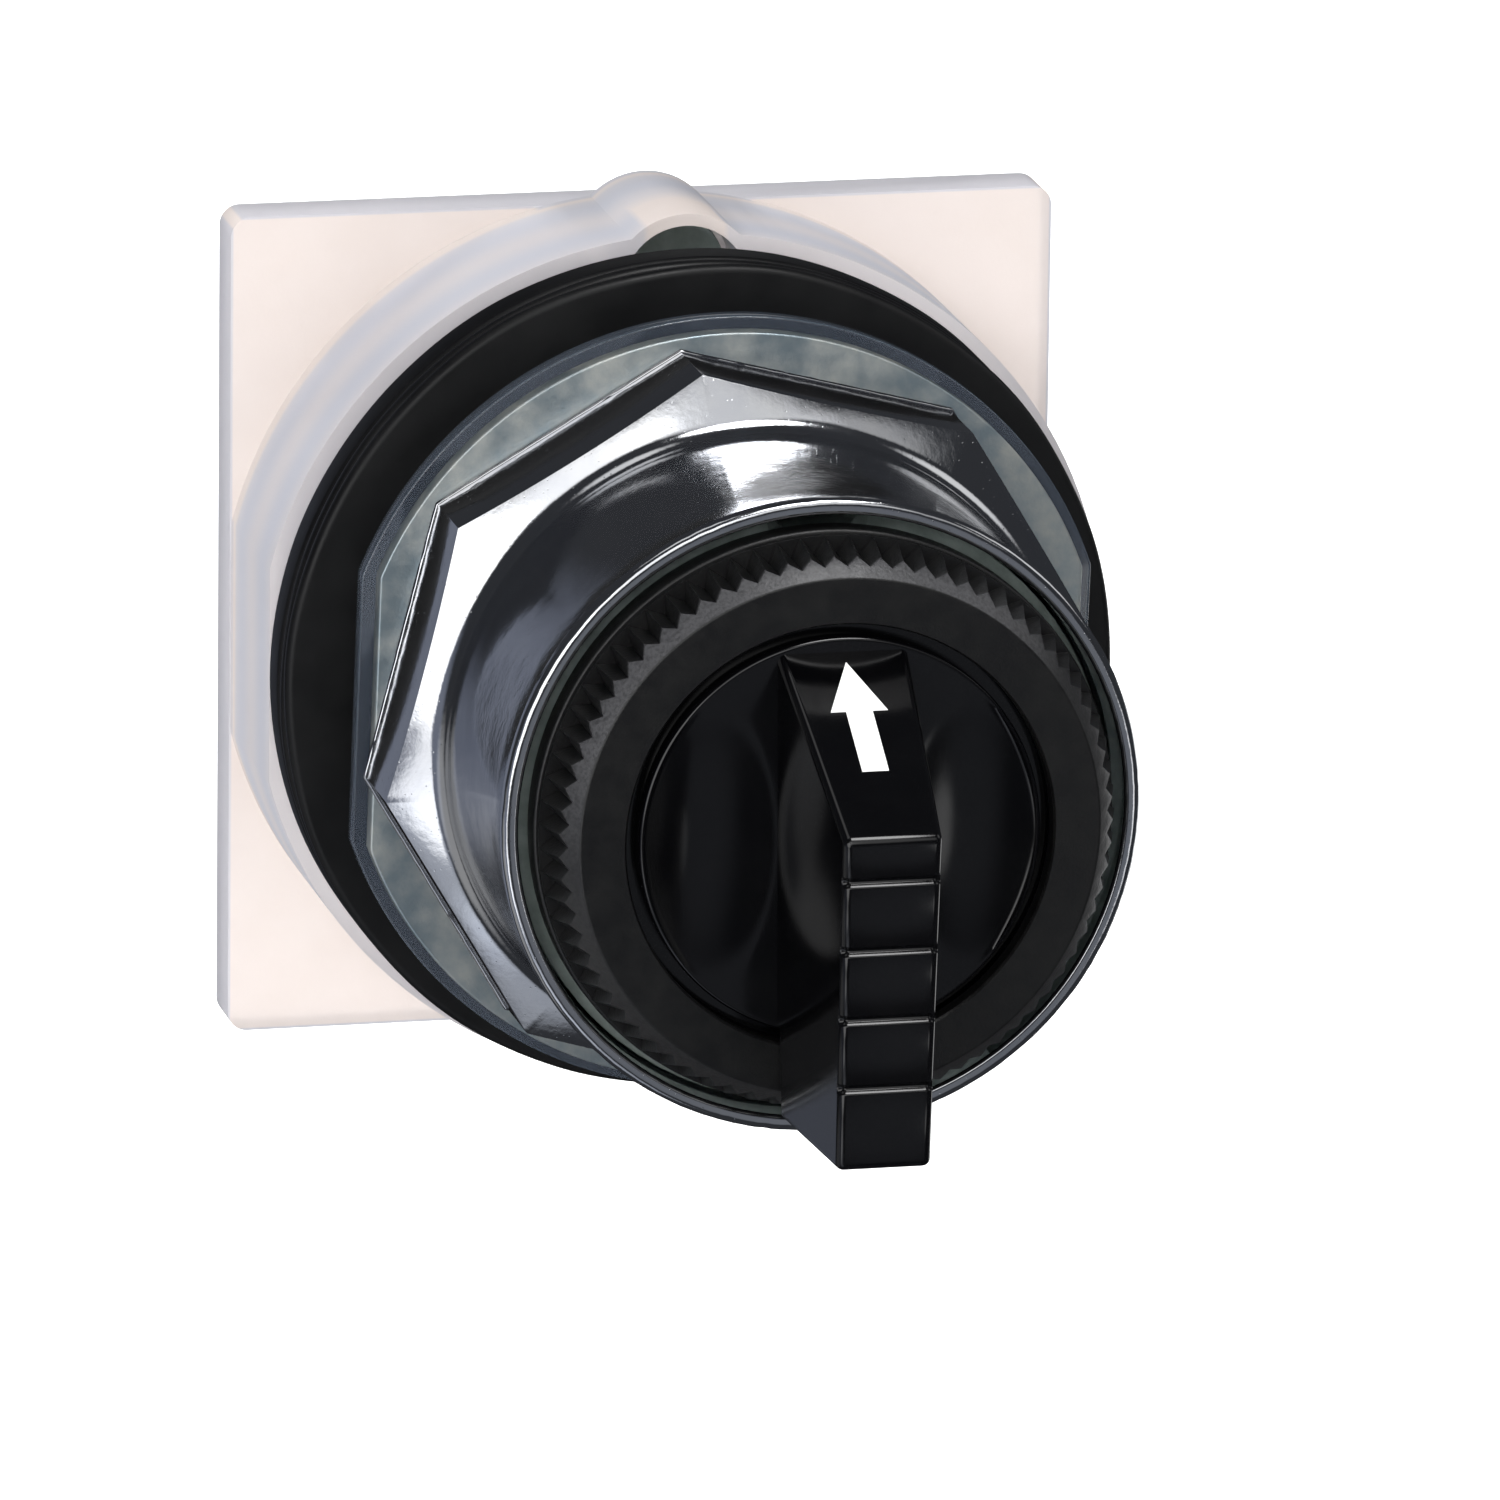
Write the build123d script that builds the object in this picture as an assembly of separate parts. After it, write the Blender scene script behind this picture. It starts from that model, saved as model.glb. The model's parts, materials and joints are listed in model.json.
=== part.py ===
from build123d import *
from math import atan, cos, degrees, hypot, radians, sin
import os

# Panel-mount rotary selector operator, 30.5 mm hole class, sizes in mm.
# Every piece is drawn in a bench frame: +Z along the switch axis towards the user, +Y up, +X to the
# right, origin at the centre of the rear contact-block seat. save() turns it so that the user's side
# is -Y and up is +Z, with the origin on the axis in the plane where the panel lies on the gaskets.

# Fits and clearances
RUNNING = 0.05  # radial clearance of a shaft or slide
SNUG = 0.03  # radial clearance of a located or screwed-in piece
SIDE_GAP = 0.3  # clearance between pieces that only pass each other

# Rear mounting base
PLATE_SIDE = 42.0
PLATE_THICK = 3.0
PLATE_CORNER_R = 1.0
DRUM_R = 21.6
DRUM_DEPTH = 9.7
DRUM_WALL = 1.8
LOBE_WALL = 0.6
GUIDE_OPENING_R = 12.0

# Die-cast body with its threaded barrel
BARREL_R = 14.75
BARREL_LENGTH = 29.9
BARREL_BORE_R = 10.0
FLANGE_R = 18.0
FLANGE_THICK = 3.6
RIB_THICK = 0.7
RIB_INSET = 0.8
HUB_R = 15.0
LUG_R = 2.9
LUG_SPACING = 37.6
LUG_TAP_R = 1.45
LUG_SCREW_CLEAR_R = 1.9
LUG_TAP_FLOOR = 0.8
KEYWAY_WIDTH = 3.2
KEYWAY_DEPTH = 1.15

# Seals and washers at the panel
GASKET_R = 21.06
GASKET_BORE_R = 14.95
GASKET_THICK = 2.5
SPACER_THICK = 1.0
GASKET_EDGE_R = 0.3
PANEL_GAP = 3.7
CLEAR_WASHER_R = 19.6
CLEAR_WASHER_FLAT = 18.4
CLEAR_WASHER_THICK = 1.1
TRIM_WASHER_R = 19.0
TRIM_WASHER_FLAT = 17.7
TRIM_WASHER_THICK = 1.0
WASHER_TURN = -1.75
TAB_WIDTH = 2.0

# Ring nut
NUT_CORNER_R = 18.35
NUT_VERTEX_ANGLE = 8.06
NUT_OCTAGON_THICK = 5.3
NUT_LENGTH = 20.8
NUT_COLLAR_R = 15.5
NUT_WAIST_R = 15.35
NUT_RIM_R = 15.75
NUT_SKIRT_BORE_R = 14.95
NUT_FLARE_R = 2.6
NUT_CHAMFER = 0.8
NUT_THREAD_RELIEF = 1.2

# Front sleeve and serrated retaining ring
SLEEVE_FLANGE_R = 14.3
SLEEVE_FLANGE_THICK = 1.4
SLEEVE_TAIL_R = 11.9
SLEEVE_TAIL_LENGTH = 8.6
SLEEVE_NOSE_R = 12.2
SLEEVE_NOSE_LENGTH = 2.4
SLEEVE_SEAT_WALL = 1.0
RING_R = 14.15
RING_ROOT_R = 13.2
RING_FACE_R = 12.77
RING_LIP_R = 10.5
RING_LENGTH = 3.6
RING_LIP_THICK = 1.0
RING_BAND = 0.5
SERRATIONS = 75

# Knob
DISC_R = 9.87
DISC_ABOVE_LIP = -0.1
KNOB_FLANGE_R = 11.2
KNOB_FLANGE_THICK = 1.1
KNOB_END_PLAY = 0.2
KNOB_HUB_R = 6.0
KNOB_HUB_LENGTH = 1.6
LEVER_HEIGHT = 11.0
LEVER_TOP_EDGE = 9.15
LEVER_CREST = 2.8
LEVER_TAIL = 13.75
LEVER_TAIL_DROP = 1.1
LEVER_HALF_WIDTH = 3.1
LEVER_DRAFT = 0.068
LEVER_TAPER = 0.0105
LEVER_EDGE_R = 0.4
GRIP_GROOVES = 4
GRIP_FIRST = 0.7
GRIP_PITCH = 3.45
GRIP_GROOVE_R = 0.22
SCOOP_CENTRE = 6.4
SCOOP_DEPTH = 0.6
SCOOP_HALF_WIDTH = 3.15
SCOOP_HALF_LENGTH = 6.0
ARROW_TIP = 0.7
ARROW_HEAD = 3.35
ARROW_SHAFT = 4.05
ARROW_HEAD_HALF = 1.4
ARROW_SHAFT_HALF = 0.65
ARROW_DEPTH = 0.3

# Stem, bearing and seal
STEM_R = 4.0
STEM_SQUARE = 5.0
STEM_BORE_R = 1.55
STEM_TAIL_R = 2.5
STEM_TAIL_LENGTH = 4.9
STEM_NOSE_LENGTH = 3.0
BEARING_WALL = 2.0
BEARING_LENGTH = 6.4
SEAL_BORE_R = STEM_R + 1.0
SEAL_WIRE_R = 0.72
SEAL_GROOVE_R = STEM_R - 0.5
SEAL_GROOVE_WIDTH = 1.7
KNOB_SCREW_R = 1.5
KNOB_SCREW_HEAD_R = 2.3
KNOB_SCREW_HEAD_THICK = 2.0
KNOB_SCREW_GRIP = 4.6
CLIP_R = 0.36 * BARREL_BORE_R
CLIP_THICK = 0.6
CLIP_GROOVE_R = 2.0

# Indexing
INDEX_ANGLE = 45.0
WHEEL_THICK = 5.6
WHEEL_GAP = 0.4
BALL_R = 1.5
BALL_POCKET_FLOOR = 4.3
DETENT_DEPTH = 0.8
STOP_PIN_R = 0.09 * BARREL_BORE_R
STOP_SLOT_DEPTH = 2.5
STOP_OVERRUN = 0.5

# Cam and plungers
CAM_R = 0.88 * BARREL_BORE_R
CAM_MEAN_HEIGHT = 8.0
CAM_SLOPE = 0.377
CAM_HUB_R = 0.33 * BARREL_BORE_R
PLUNGER_X = 0.6 * BARREL_BORE_R
PLUNGER_R = 0.2 * BARREL_BORE_R
PLUNGER_COLLAR_R = 0.3 * BARREL_BORE_R
PLUNGER_COLLAR_THICK = 1.2
PLUNGER_RECESS = 0.6
CAM_GAP = 0.15
GUIDE_THICK = 2.4
GUIDE_FLANGE_R = 14.0
GUIDE_FLANGE_THICK = 1.6
GUIDE_SCREW_RADIUS = 12.6
GUIDE_SCREW_R = 0.9
GUIDE_SCREW_HEAD_R = 1.7
GUIDE_SCREW_DEPTH = 4.0
BASE_SCREW_RADIUS = 17.1
BASE_SCREW_R = 0.9
BASE_SCREW_HEAD_R = 1.8
BASE_POST_R = 1.9
BASE_SCREW_BITE = 3.0
RETURN_SPRING_LENGTH = 4.3
RETURN_WIRE_R = 0.3
RETURN_TURNS = 4
DETENT_WIRE_R = 0.15
DETENT_TURNS = 4
SPRING_END_GAP = 0.02

# Stations along the axis, measured forwards from the contact-block seat
DRUM_FRONT = PLATE_THICK + DRUM_DEPTH
FLANGE_BACK = DRUM_FRONT - FLANGE_THICK
RIB_BACK = FLANGE_BACK - RIB_THICK
HUB_BACK = PLATE_THICK + GUIDE_FLANGE_THICK
SPACER_BACK = DRUM_FRONT + GASKET_THICK
GASKET_FRONT = SPACER_BACK + 2 * SPACER_THICK
CLEAR_BACK = GASKET_FRONT + PANEL_GAP
TRIM_BACK = CLEAR_BACK + CLEAR_WASHER_THICK
NUT_BACK = TRIM_BACK + TRIM_WASHER_THICK
OCTAGON_FRONT = NUT_BACK + NUT_OCTAGON_THICK
NUT_FRONT = NUT_BACK + NUT_LENGTH
BARREL_FRONT = DRUM_FRONT + BARREL_LENGTH
SLEEVE_BACK = BARREL_FRONT - SLEEVE_TAIL_LENGTH
SLEEVE_NOSE_BACK = BARREL_FRONT + SLEEVE_FLANGE_THICK
KNOB_SEAT = SLEEVE_NOSE_BACK + SLEEVE_SEAT_WALL
KNOB_BACK = KNOB_SEAT + KNOB_END_PLAY
HUB_END = KNOB_BACK - KNOB_HUB_LENGTH
RING_FRONT = SLEEVE_NOSE_BACK + RING_LENGTH
DISC_FRONT = RING_FRONT + DISC_ABOVE_LIP
WHEEL_FRONT = SLEEVE_BACK - WHEEL_GAP
WHEEL_BACK = WHEEL_FRONT - WHEEL_THICK
CAM_PLANE = WHEEL_BACK - CAM_MEAN_HEIGHT
CAM_TILT = degrees(atan(CAM_SLOPE))
CAM_HUB_END = CAM_PLANE - CAM_SLOPE * CAM_R - 2.2
CLIP_FRONT = CAM_HUB_END - 0.05
STEM_TAIL_FRONT = CAM_HUB_END + 0.4
STEM_BACK = STEM_TAIL_FRONT - STEM_TAIL_LENGTH
LUG_Y = LUG_SPACING / 2
LOBE_R = LUG_R + SIDE_GAP + LOBE_WALL
BEARING_R = STEM_R + BEARING_WALL
STOP_RADIUS = (BEARING_R + BARREL_BORE_R - 0.8) / 2
PLUNGER_TIP_Z = CAM_PLANE - (PLUNGER_R + CAM_GAP * cos(radians(CAM_TILT))) / cos(radians(CAM_TILT))
COLLAR_BACK = HUB_BACK + RETURN_SPRING_LENGTH


def disc(radius, low, high, x=0.0, y=0.0):
    """Cylinder along the switch axis between two stations."""
    body = Cylinder(radius, high - low, align=(Align.CENTER, Align.CENTER, Align.MIN))
    return Pos(x, y, low) * body


def tube(outer, inner, low, high, x=0.0, y=0.0):
    """Hollow cylinder along the switch axis."""
    return disc(outer, low, high, x, y) - disc(inner, low, high, x, y)


def block(width, height, low, high, x=0.0, y=0.0):
    """Rectangular bar along the switch axis."""
    body = Box(width, height, high - low, align=(Align.CENTER, Align.CENTER, Align.MIN))
    return Pos(x, y, low) * body


def across_axis(radius, length, z, x=0.0):
    """Cylinder along X, centred on x."""
    return Pos(x, 0, z) * Rot(Y=90) * Cylinder(radius, length)


def coil(radius, wire, length, turns):
    """Compression spring along +Z from the origin, wire ends inside the length."""
    rise = length - 2 * (wire + SPRING_END_GAP)
    path = Helix(pitch=rise / turns, height=rise, radius=radius)
    section = Plane(origin=path @ 0, z_dir=path % 0) * Circle(wire)
    return Pos(0, 0, wire + SPRING_END_GAP) * sweep(section, path=path, is_frenet=True)


def flatted_disc(radius, half_flat, low, high):
    """Disc with a flat on its left and right."""
    return disc(radius, low, high) & block(2 * half_flat, 2 * radius + 2, low, high)


def save(name, shape):
    """Turn a piece from the bench frame into the row frame and write it."""
    export_step(Rot(X=90) * Pos(0, 0, -GASKET_FRONT) * shape, f"parts/{name}.step")


def base_screw_places():
    """The four screw centres that hold the base to the body's flange."""
    side = BASE_SCREW_RADIUS * cos(radians(45))
    return [(x, y) for x in (-side, side) for y in (-side, side)]


def drum_outline(wall, low, high):
    """Drum disc with side flats in line with the plate, inset by a wall."""
    return flatted_disc(DRUM_R - wall, PLATE_SIDE / 2 - 0.1 - wall, low, high)


def mounting_base():
    """Square plate and lobed drum, one moulding, with pockets for the body's two lugs."""
    plate = block(PLATE_SIDE, PLATE_SIDE, 0, PLATE_THICK)
    plate = fillet(plate.edges().filter_by(Axis.Z), PLATE_CORNER_R)
    pocket_floor = RIB_BACK - 0.1
    hollow = drum_outline(DRUM_WALL, PLATE_THICK, DRUM_FRONT)
    drum = drum_outline(0, PLATE_THICK, DRUM_FRONT)
    for y in (-LUG_Y, LUG_Y):
        drum += disc(LOBE_R, PLATE_THICK, DRUM_FRONT, y=y)
        hollow -= disc(LOBE_R, PLATE_THICK, pocket_floor, y=y)
    drum -= hollow
    for y in (-LUG_Y, LUG_Y):
        drum -= disc(LUG_R + SIDE_GAP, pocket_floor, DRUM_FRONT, y=y)
        drum -= disc(LUG_R + SNUG, PLATE_THICK, pocket_floor, y=y)
    base = plate + drum - disc(GUIDE_OPENING_R, 0, PLATE_THICK)
    for y in (-LUG_Y, LUG_Y):
        base -= disc(LUG_SCREW_CLEAR_R, 0, PLATE_THICK, y=y)
    for x, y in base_screw_places():
        base += disc(BASE_POST_R, PLATE_THICK, RIB_BACK, x, y)
    for x, y in base_screw_places():
        base -= disc(BASE_SCREW_R + SNUG, 0, RIB_BACK, x, y)
        base -= disc(BASE_SCREW_HEAD_R + SNUG, 0, PLATE_THICK / 2, x, y)
    return base


def base_screws():
    """Four self-tapping screws through the base into the flange."""
    screws = []
    head_back = 0.2
    for x, y in base_screw_places():
        head = disc(BASE_SCREW_HEAD_R, head_back, PLATE_THICK / 2, x, y)
        shank = disc(BASE_SCREW_R, PLATE_THICK / 2, RIB_BACK + BASE_SCREW_BITE, x, y)
        slot = block(2 * BASE_SCREW_HEAD_R, 0.5, head_back, head_back + 0.5, x, y)
        screws.append(head + shank - slot)
    return Compound(children=screws)


def bushing_body():
    """Die-cast body: barrel, clamping flange, rear hub and two tapped lugs."""
    body = disc(HUB_R, HUB_BACK, DRUM_FRONT)
    body += disc(FLANGE_R, FLANGE_BACK, DRUM_FRONT)
    body += disc(FLANGE_R - RIB_INSET, RIB_BACK, DRUM_FRONT)
    for y in (-LUG_Y, LUG_Y):
        body += disc(LUG_R, PLATE_THICK, FLANGE_BACK, y=y)
    body += disc(BARREL_R, DRUM_FRONT, BARREL_FRONT)
    body -= disc(BARREL_BORE_R, HUB_BACK, SLEEVE_BACK)
    body -= disc(SLEEVE_TAIL_R + SNUG, SLEEVE_BACK, BARREL_FRONT)
    key_y = BARREL_R - KEYWAY_DEPTH + 1.0
    body -= block(KEYWAY_WIDTH, 2.0, DRUM_FRONT, BARREL_FRONT, y=key_y)
    for y in (-LUG_Y, LUG_Y):
        body -= disc(LUG_TAP_R, PLATE_THICK, FLANGE_BACK - LUG_TAP_FLOOR, y=y)
    for y in (-GUIDE_SCREW_RADIUS, GUIDE_SCREW_RADIUS):
        body -= disc(GUIDE_SCREW_R + SNUG, HUB_BACK, HUB_BACK + GUIDE_SCREW_DEPTH, y=y)
    for x, y in base_screw_places():
        body -= disc(BASE_SCREW_R + SNUG, RIB_BACK, RIB_BACK + BASE_SCREW_BITE, x, y)
    groove_r = BALL_R + 0.1
    groove_centre = BARREL_BORE_R + DETENT_DEPTH - groove_r
    for side in (0, 180):
        for step in (-INDEX_ANGLE, 0, INDEX_ANGLE):
            angle = radians(side + step)
            x, y = groove_centre * cos(angle), groove_centre * sin(angle)
            body -= disc(groove_r, WHEEL_BACK, WHEEL_FRONT, x, y)
    return body


def gasket(low, high):
    """Rubber ring with rounded outer edges."""
    ring = tube(GASKET_R, GASKET_BORE_R, low, high)
    rim = [edge for edge in ring.edges().filter_by(GeomType.CIRCLE) if edge.radius > GASKET_R - 0.1]
    return fillet(rim, GASKET_EDGE_R)


def clear_washer():
    """Clear plastic washer with two side flats."""
    washer = flatted_disc(CLEAR_WASHER_R, CLEAR_WASHER_FLAT, CLEAR_BACK, TRIM_BACK)
    washer -= disc(BARREL_R + 2 * RUNNING, CLEAR_BACK, TRIM_BACK)
    return Rot(Z=WASHER_TURN) * washer


def trim_washer():
    """Steel washer with side flats and a tab that rides in the barrel's keyway."""
    washer = flatted_disc(TRIM_WASHER_R, TRIM_WASHER_FLAT, TRIM_BACK, NUT_BACK)
    washer -= disc(BARREL_R + 2 * RUNNING, TRIM_BACK, NUT_BACK)
    tab_low = BARREL_R - KEYWAY_DEPTH + SIDE_GAP
    tab_height = BARREL_R + 0.5 - tab_low
    washer += block(TAB_WIDTH, tab_height, TRIM_BACK, NUT_BACK, y=tab_low + tab_height / 2)
    return Rot(Z=WASHER_TURN) * washer


def ring_nut_profile():
    """Half section of the nut as a turned piece, radius against height."""
    flare_centre = OCTAGON_FRONT + NUT_FLARE_R
    flare_start = NUT_COLLAR_R + NUT_FLARE_R
    waist = (flare_centre + NUT_FRONT) / 2
    rim_back = NUT_FRONT - 0.5
    with BuildSketch(Plane.XZ) as sketch:
        with BuildLine():
            Polyline(
                (NUT_SKIRT_BORE_R, NUT_BACK),
                (NUT_CORNER_R - 0.4, NUT_BACK),
                (NUT_CORNER_R, NUT_BACK + 0.25),
                (NUT_CORNER_R, OCTAGON_FRONT - 0.45),
                (NUT_CORNER_R - NUT_CHAMFER, OCTAGON_FRONT),
                (flare_start - 0.5, OCTAGON_FRONT + 0.05),
            )
            flare_low = (flare_start - 0.5, OCTAGON_FRONT + 0.05)
            ThreePointArc(
                flare_low,
                (
                    flare_start - NUT_FLARE_R * sin(radians(45)),
                    flare_centre - NUT_FLARE_R * cos(radians(45)),
                ),
                (NUT_COLLAR_R, flare_centre),
            )
            ThreePointArc(
                (NUT_COLLAR_R, flare_centre), (NUT_WAIST_R, waist), (NUT_RIM_R - 0.15, rim_back)
            )
            Polyline(
                (NUT_RIM_R - 0.15, rim_back),
                (NUT_RIM_R, rim_back + 0.15),
                (NUT_RIM_R, NUT_FRONT - 0.15),
                (NUT_RIM_R - 0.2, NUT_FRONT),
                (NUT_SKIRT_BORE_R, NUT_FRONT),
                (NUT_SKIRT_BORE_R, NUT_BACK),
            )
        make_face()
    return sketch.sketch


def ring_nut():
    """Octagonal ring nut with a flared collar; its thread runs on the barrel."""
    turned = revolve(ring_nut_profile(), Axis.Z)
    octagon = RegularPolygon(NUT_CORNER_R, 8, rotation=NUT_VERTEX_ANGLE)
    prism = Pos(0, 0, NUT_BACK) * extrude(octagon, NUT_LENGTH)
    land_back = NUT_BACK + NUT_THREAD_RELIEF
    land = tube(NUT_SKIRT_BORE_R + 0.5, BARREL_R + RUNNING, land_back, OCTAGON_FRONT)
    return (turned & prism) + land


def front_sleeve():
    """Black flanged sleeve in the barrel's mouth; it carries the bearing, seal and ring."""
    sleeve = disc(SLEEVE_TAIL_R, SLEEVE_BACK, BARREL_FRONT)
    sleeve += disc(SLEEVE_FLANGE_R, BARREL_FRONT, SLEEVE_NOSE_BACK)
    sleeve += disc(SLEEVE_NOSE_R, SLEEVE_NOSE_BACK, SLEEVE_NOSE_BACK + SLEEVE_NOSE_LENGTH)
    bearing_end = SLEEVE_BACK + BEARING_LENGTH
    sleeve -= disc(BEARING_R, SLEEVE_BACK, bearing_end)
    sleeve -= disc(SEAL_BORE_R, bearing_end, KNOB_SEAT)
    sleeve -= disc(KNOB_HUB_R + SIDE_GAP, HUB_END - KNOB_END_PLAY, KNOB_SEAT)
    nose_front = SLEEVE_NOSE_BACK + SLEEVE_NOSE_LENGTH
    sleeve -= disc(KNOB_FLANGE_R + SIDE_GAP, KNOB_SEAT, nose_front)
    sleeve -= disc(STOP_PIN_R, SLEEVE_BACK, SLEEVE_BACK + 4.0, y=STOP_RADIUS)
    return sleeve


def serration_star():
    """Toothed outline of the retaining ring."""
    points = []
    for step in range(2 * SERRATIONS):
        radius = RING_R if step % 2 == 0 else RING_ROOT_R
        angle = radians(180 * step / SERRATIONS)
        points.append((radius * cos(angle), radius * sin(angle)))
    return make_face(Polyline(*points, close=True))


def knob_retaining_ring():
    """Serrated ring screwed on the sleeve's nose; its lip holds the knob in."""
    teeth_back = SLEEVE_NOSE_BACK + RING_BAND
    chamfer = RING_R - RING_FACE_R
    toothed = Pos(0, 0, teeth_back) * extrude(serration_star(), RING_FRONT - teeth_back)
    cone_low = RING_FRONT - chamfer
    cone = Cone(RING_R, RING_FACE_R, chamfer, align=(Align.CENTER, Align.CENTER, Align.MIN))
    envelope = disc(RING_R, teeth_back, cone_low) + Pos(0, 0, cone_low) * cone
    ring = (toothed & envelope) + disc(RING_R, SLEEVE_NOSE_BACK, teeth_back)
    ring -= disc(SLEEVE_NOSE_R + SNUG, SLEEVE_NOSE_BACK, RING_FRONT - RING_LIP_THICK)
    ring -= disc(RING_LIP_R, SLEEVE_NOSE_BACK, RING_FRONT)
    return ring


def lever_half_width(y, z):
    """Half the lever's width at a height above the disc and a place along it."""
    return LEVER_HALF_WIDTH - LEVER_DRAFT * (z - DISC_FRONT) + LEVER_TAPER * y


def lever_wedge():
    """Solid between the lever's two drafted side planes."""
    reach = LEVER_TAIL + 4
    sections = []
    for z in (DISC_FRONT - 3, DISC_FRONT + LEVER_HEIGHT + 3):
        top, low = lever_half_width(reach, z), lever_half_width(-reach, z)
        outline = Polyline((-top, reach), (top, reach), (low, -reach), (-low, -reach), close=True)
        sections.append(Plane.XY.offset(z) * make_face(outline))
    return loft(sections, ruled=True)


def lever():
    """Pointer-shaped grip: sloped front, long grooved back and an overhanging tail."""
    crest_z = DISC_FRONT + LEVER_HEIGHT
    tail_z = crest_z - LEVER_TAIL_DROP
    underside = RING_FRONT + SIDE_GAP
    inner = DISC_R - 0.6
    profile = Polyline(
        (LEVER_TOP_EDGE, DISC_FRONT),
        (LEVER_CREST, crest_z),
        (-LEVER_TAIL, tail_z),
        (-LEVER_TAIL, underside),
        (-inner, underside),
        (-inner, DISC_FRONT - 0.8),
        (LEVER_TOP_EDGE, DISC_FRONT - 0.8),
        close=True,
    )
    half = LEVER_HALF_WIDTH + 2
    side = extrude(Plane.YZ * make_face(profile), half, both=True)
    grip = side & lever_wedge()
    outer_edges = grip.edges().filter_by(lambda edge: edge.center().Z > DISC_FRONT + LEVER_HEIGHT / 2.5)
    return fillet(outer_edges, LEVER_EDGE_R)


def grip_grooves():
    """Round-bottomed cross grooves in the lever's back."""
    crest_z = DISC_FRONT + LEVER_HEIGHT
    fall = LEVER_TAIL_DROP / (LEVER_TAIL + LEVER_CREST)
    grooves = []
    for index in range(GRIP_GROOVES):
        y = GRIP_FIRST - index * GRIP_PITCH
        z = crest_z - fall * (LEVER_CREST - y)
        grooves.append(Pos(0, y, 0) * across_axis(GRIP_GROOVE_R, 4 * LEVER_HALF_WIDTH, z))
    return grooves


def slope_plane():
    """Plane of the lever's sloped face, origin at its lower edge, y towards the crest."""
    run = LEVER_TOP_EDGE - LEVER_CREST
    length = hypot(run, LEVER_HEIGHT)
    normal = (0, LEVER_HEIGHT / length, run / length)
    return Plane(origin=(0, LEVER_TOP_EDGE, DISC_FRONT), x_dir=(1, 0, 0), z_dir=normal)


def arrow_inlay():
    """White pointer arrow let into the sloped face."""
    neck = ARROW_TIP + ARROW_HEAD
    tail = neck + ARROW_SHAFT
    outline = Polyline(
        (0, -ARROW_TIP),
        (ARROW_HEAD_HALF, -neck),
        (ARROW_SHAFT_HALF, -neck),
        (ARROW_SHAFT_HALF, -tail),
        (-ARROW_SHAFT_HALF, -tail),
        (-ARROW_SHAFT_HALF, -neck),
        (-ARROW_HEAD_HALF, -neck),
        close=True,
    )
    return slope_plane() * (Pos(0, 0, -ARROW_DEPTH) * extrude(make_face(outline), ARROW_DEPTH))


def finger_scoops(disc_body):
    """Cut the shallow thumb scoop on each side of where the lever stands."""
    across = (SCOOP_HALF_WIDTH**2 + SCOOP_DEPTH**2) / (2 * SCOOP_DEPTH)
    along = (SCOOP_HALF_LENGTH**2 + SCOOP_DEPTH**2) / (2 * SCOOP_DEPTH)
    height = DISC_FRONT - SCOOP_DEPTH + along
    for x in (-SCOOP_CENTRE, SCOOP_CENTRE):
        disc_body -= Pos(x, 0, height) * Rot(Y=90) * Torus(along - across, across)
    return disc_body


def selector_knob():
    """Knob disc with its captive flange, hub, scoops and lever."""
    knob = finger_scoops(disc(DISC_R, KNOB_BACK, DISC_FRONT))
    knob += disc(KNOB_FLANGE_R, KNOB_BACK, KNOB_BACK + KNOB_FLANGE_THICK)
    knob += disc(KNOB_HUB_R, HUB_END, KNOB_BACK)
    knob += lever()
    for groove in grip_grooves():
        knob -= groove
    socket = STEM_SQUARE + 2 * SNUG
    socket_end = HUB_END + STEM_NOSE_LENGTH + 0.2
    knob -= block(socket, socket, HUB_END, socket_end)
    knob -= disc(KNOB_SCREW_R, socket_end, socket_end + KNOB_SCREW_GRIP)
    return knob - arrow_inlay()


def knob_stem():
    """Stem: square nose in the knob, round journal, square drive and clip tail."""
    stem = disc(STEM_R, SLEEVE_BACK, HUB_END)
    stem += block(STEM_SQUARE, STEM_SQUARE, HUB_END, HUB_END + STEM_NOSE_LENGTH)
    stem += block(STEM_SQUARE, STEM_SQUARE, STEM_TAIL_FRONT, SLEEVE_BACK)
    stem += disc(STEM_TAIL_R, STEM_BACK, STEM_TAIL_FRONT)
    seal_mid = seal_station()
    low, high = seal_mid - SEAL_GROOVE_WIDTH / 2, seal_mid + SEAL_GROOVE_WIDTH / 2
    stem -= tube(STEM_R + 1, SEAL_GROOVE_R, low, high)
    clip_low = CLIP_FRONT - CLIP_THICK - 0.05
    stem -= tube(STEM_R, CLIP_GROOVE_R, clip_low, CLIP_FRONT + 0.05)
    return stem - disc(STEM_BORE_R, STEM_BACK, HUB_END + STEM_NOSE_LENGTH)


def seal_station():
    """Middle of the stem seal, in the sleeve's bore ahead of the bearing."""
    return (SLEEVE_BACK + BEARING_LENGTH + HUB_END - KNOB_END_PLAY) / 2


def stem_seal():
    """O-ring in the stem's groove."""
    major = SEAL_GROOVE_R + 0.02 + SEAL_WIRE_R
    return Pos(0, 0, seal_station()) * Torus(major, SEAL_WIRE_R)


def knob_screw():
    """Long screw through the stem that draws the knob on to it."""
    head_back = STEM_BACK - KNOB_SCREW_HEAD_THICK
    tip = HUB_END + STEM_NOSE_LENGTH + KNOB_SCREW_GRIP
    screw = disc(KNOB_SCREW_HEAD_R, head_back, STEM_BACK)
    screw += disc(KNOB_SCREW_R, STEM_BACK, tip)
    for width, height in ((3.0, 0.6), (0.6, 3.0)):
        screw -= block(width, height, head_back, head_back + 1.0)
    return screw


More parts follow.
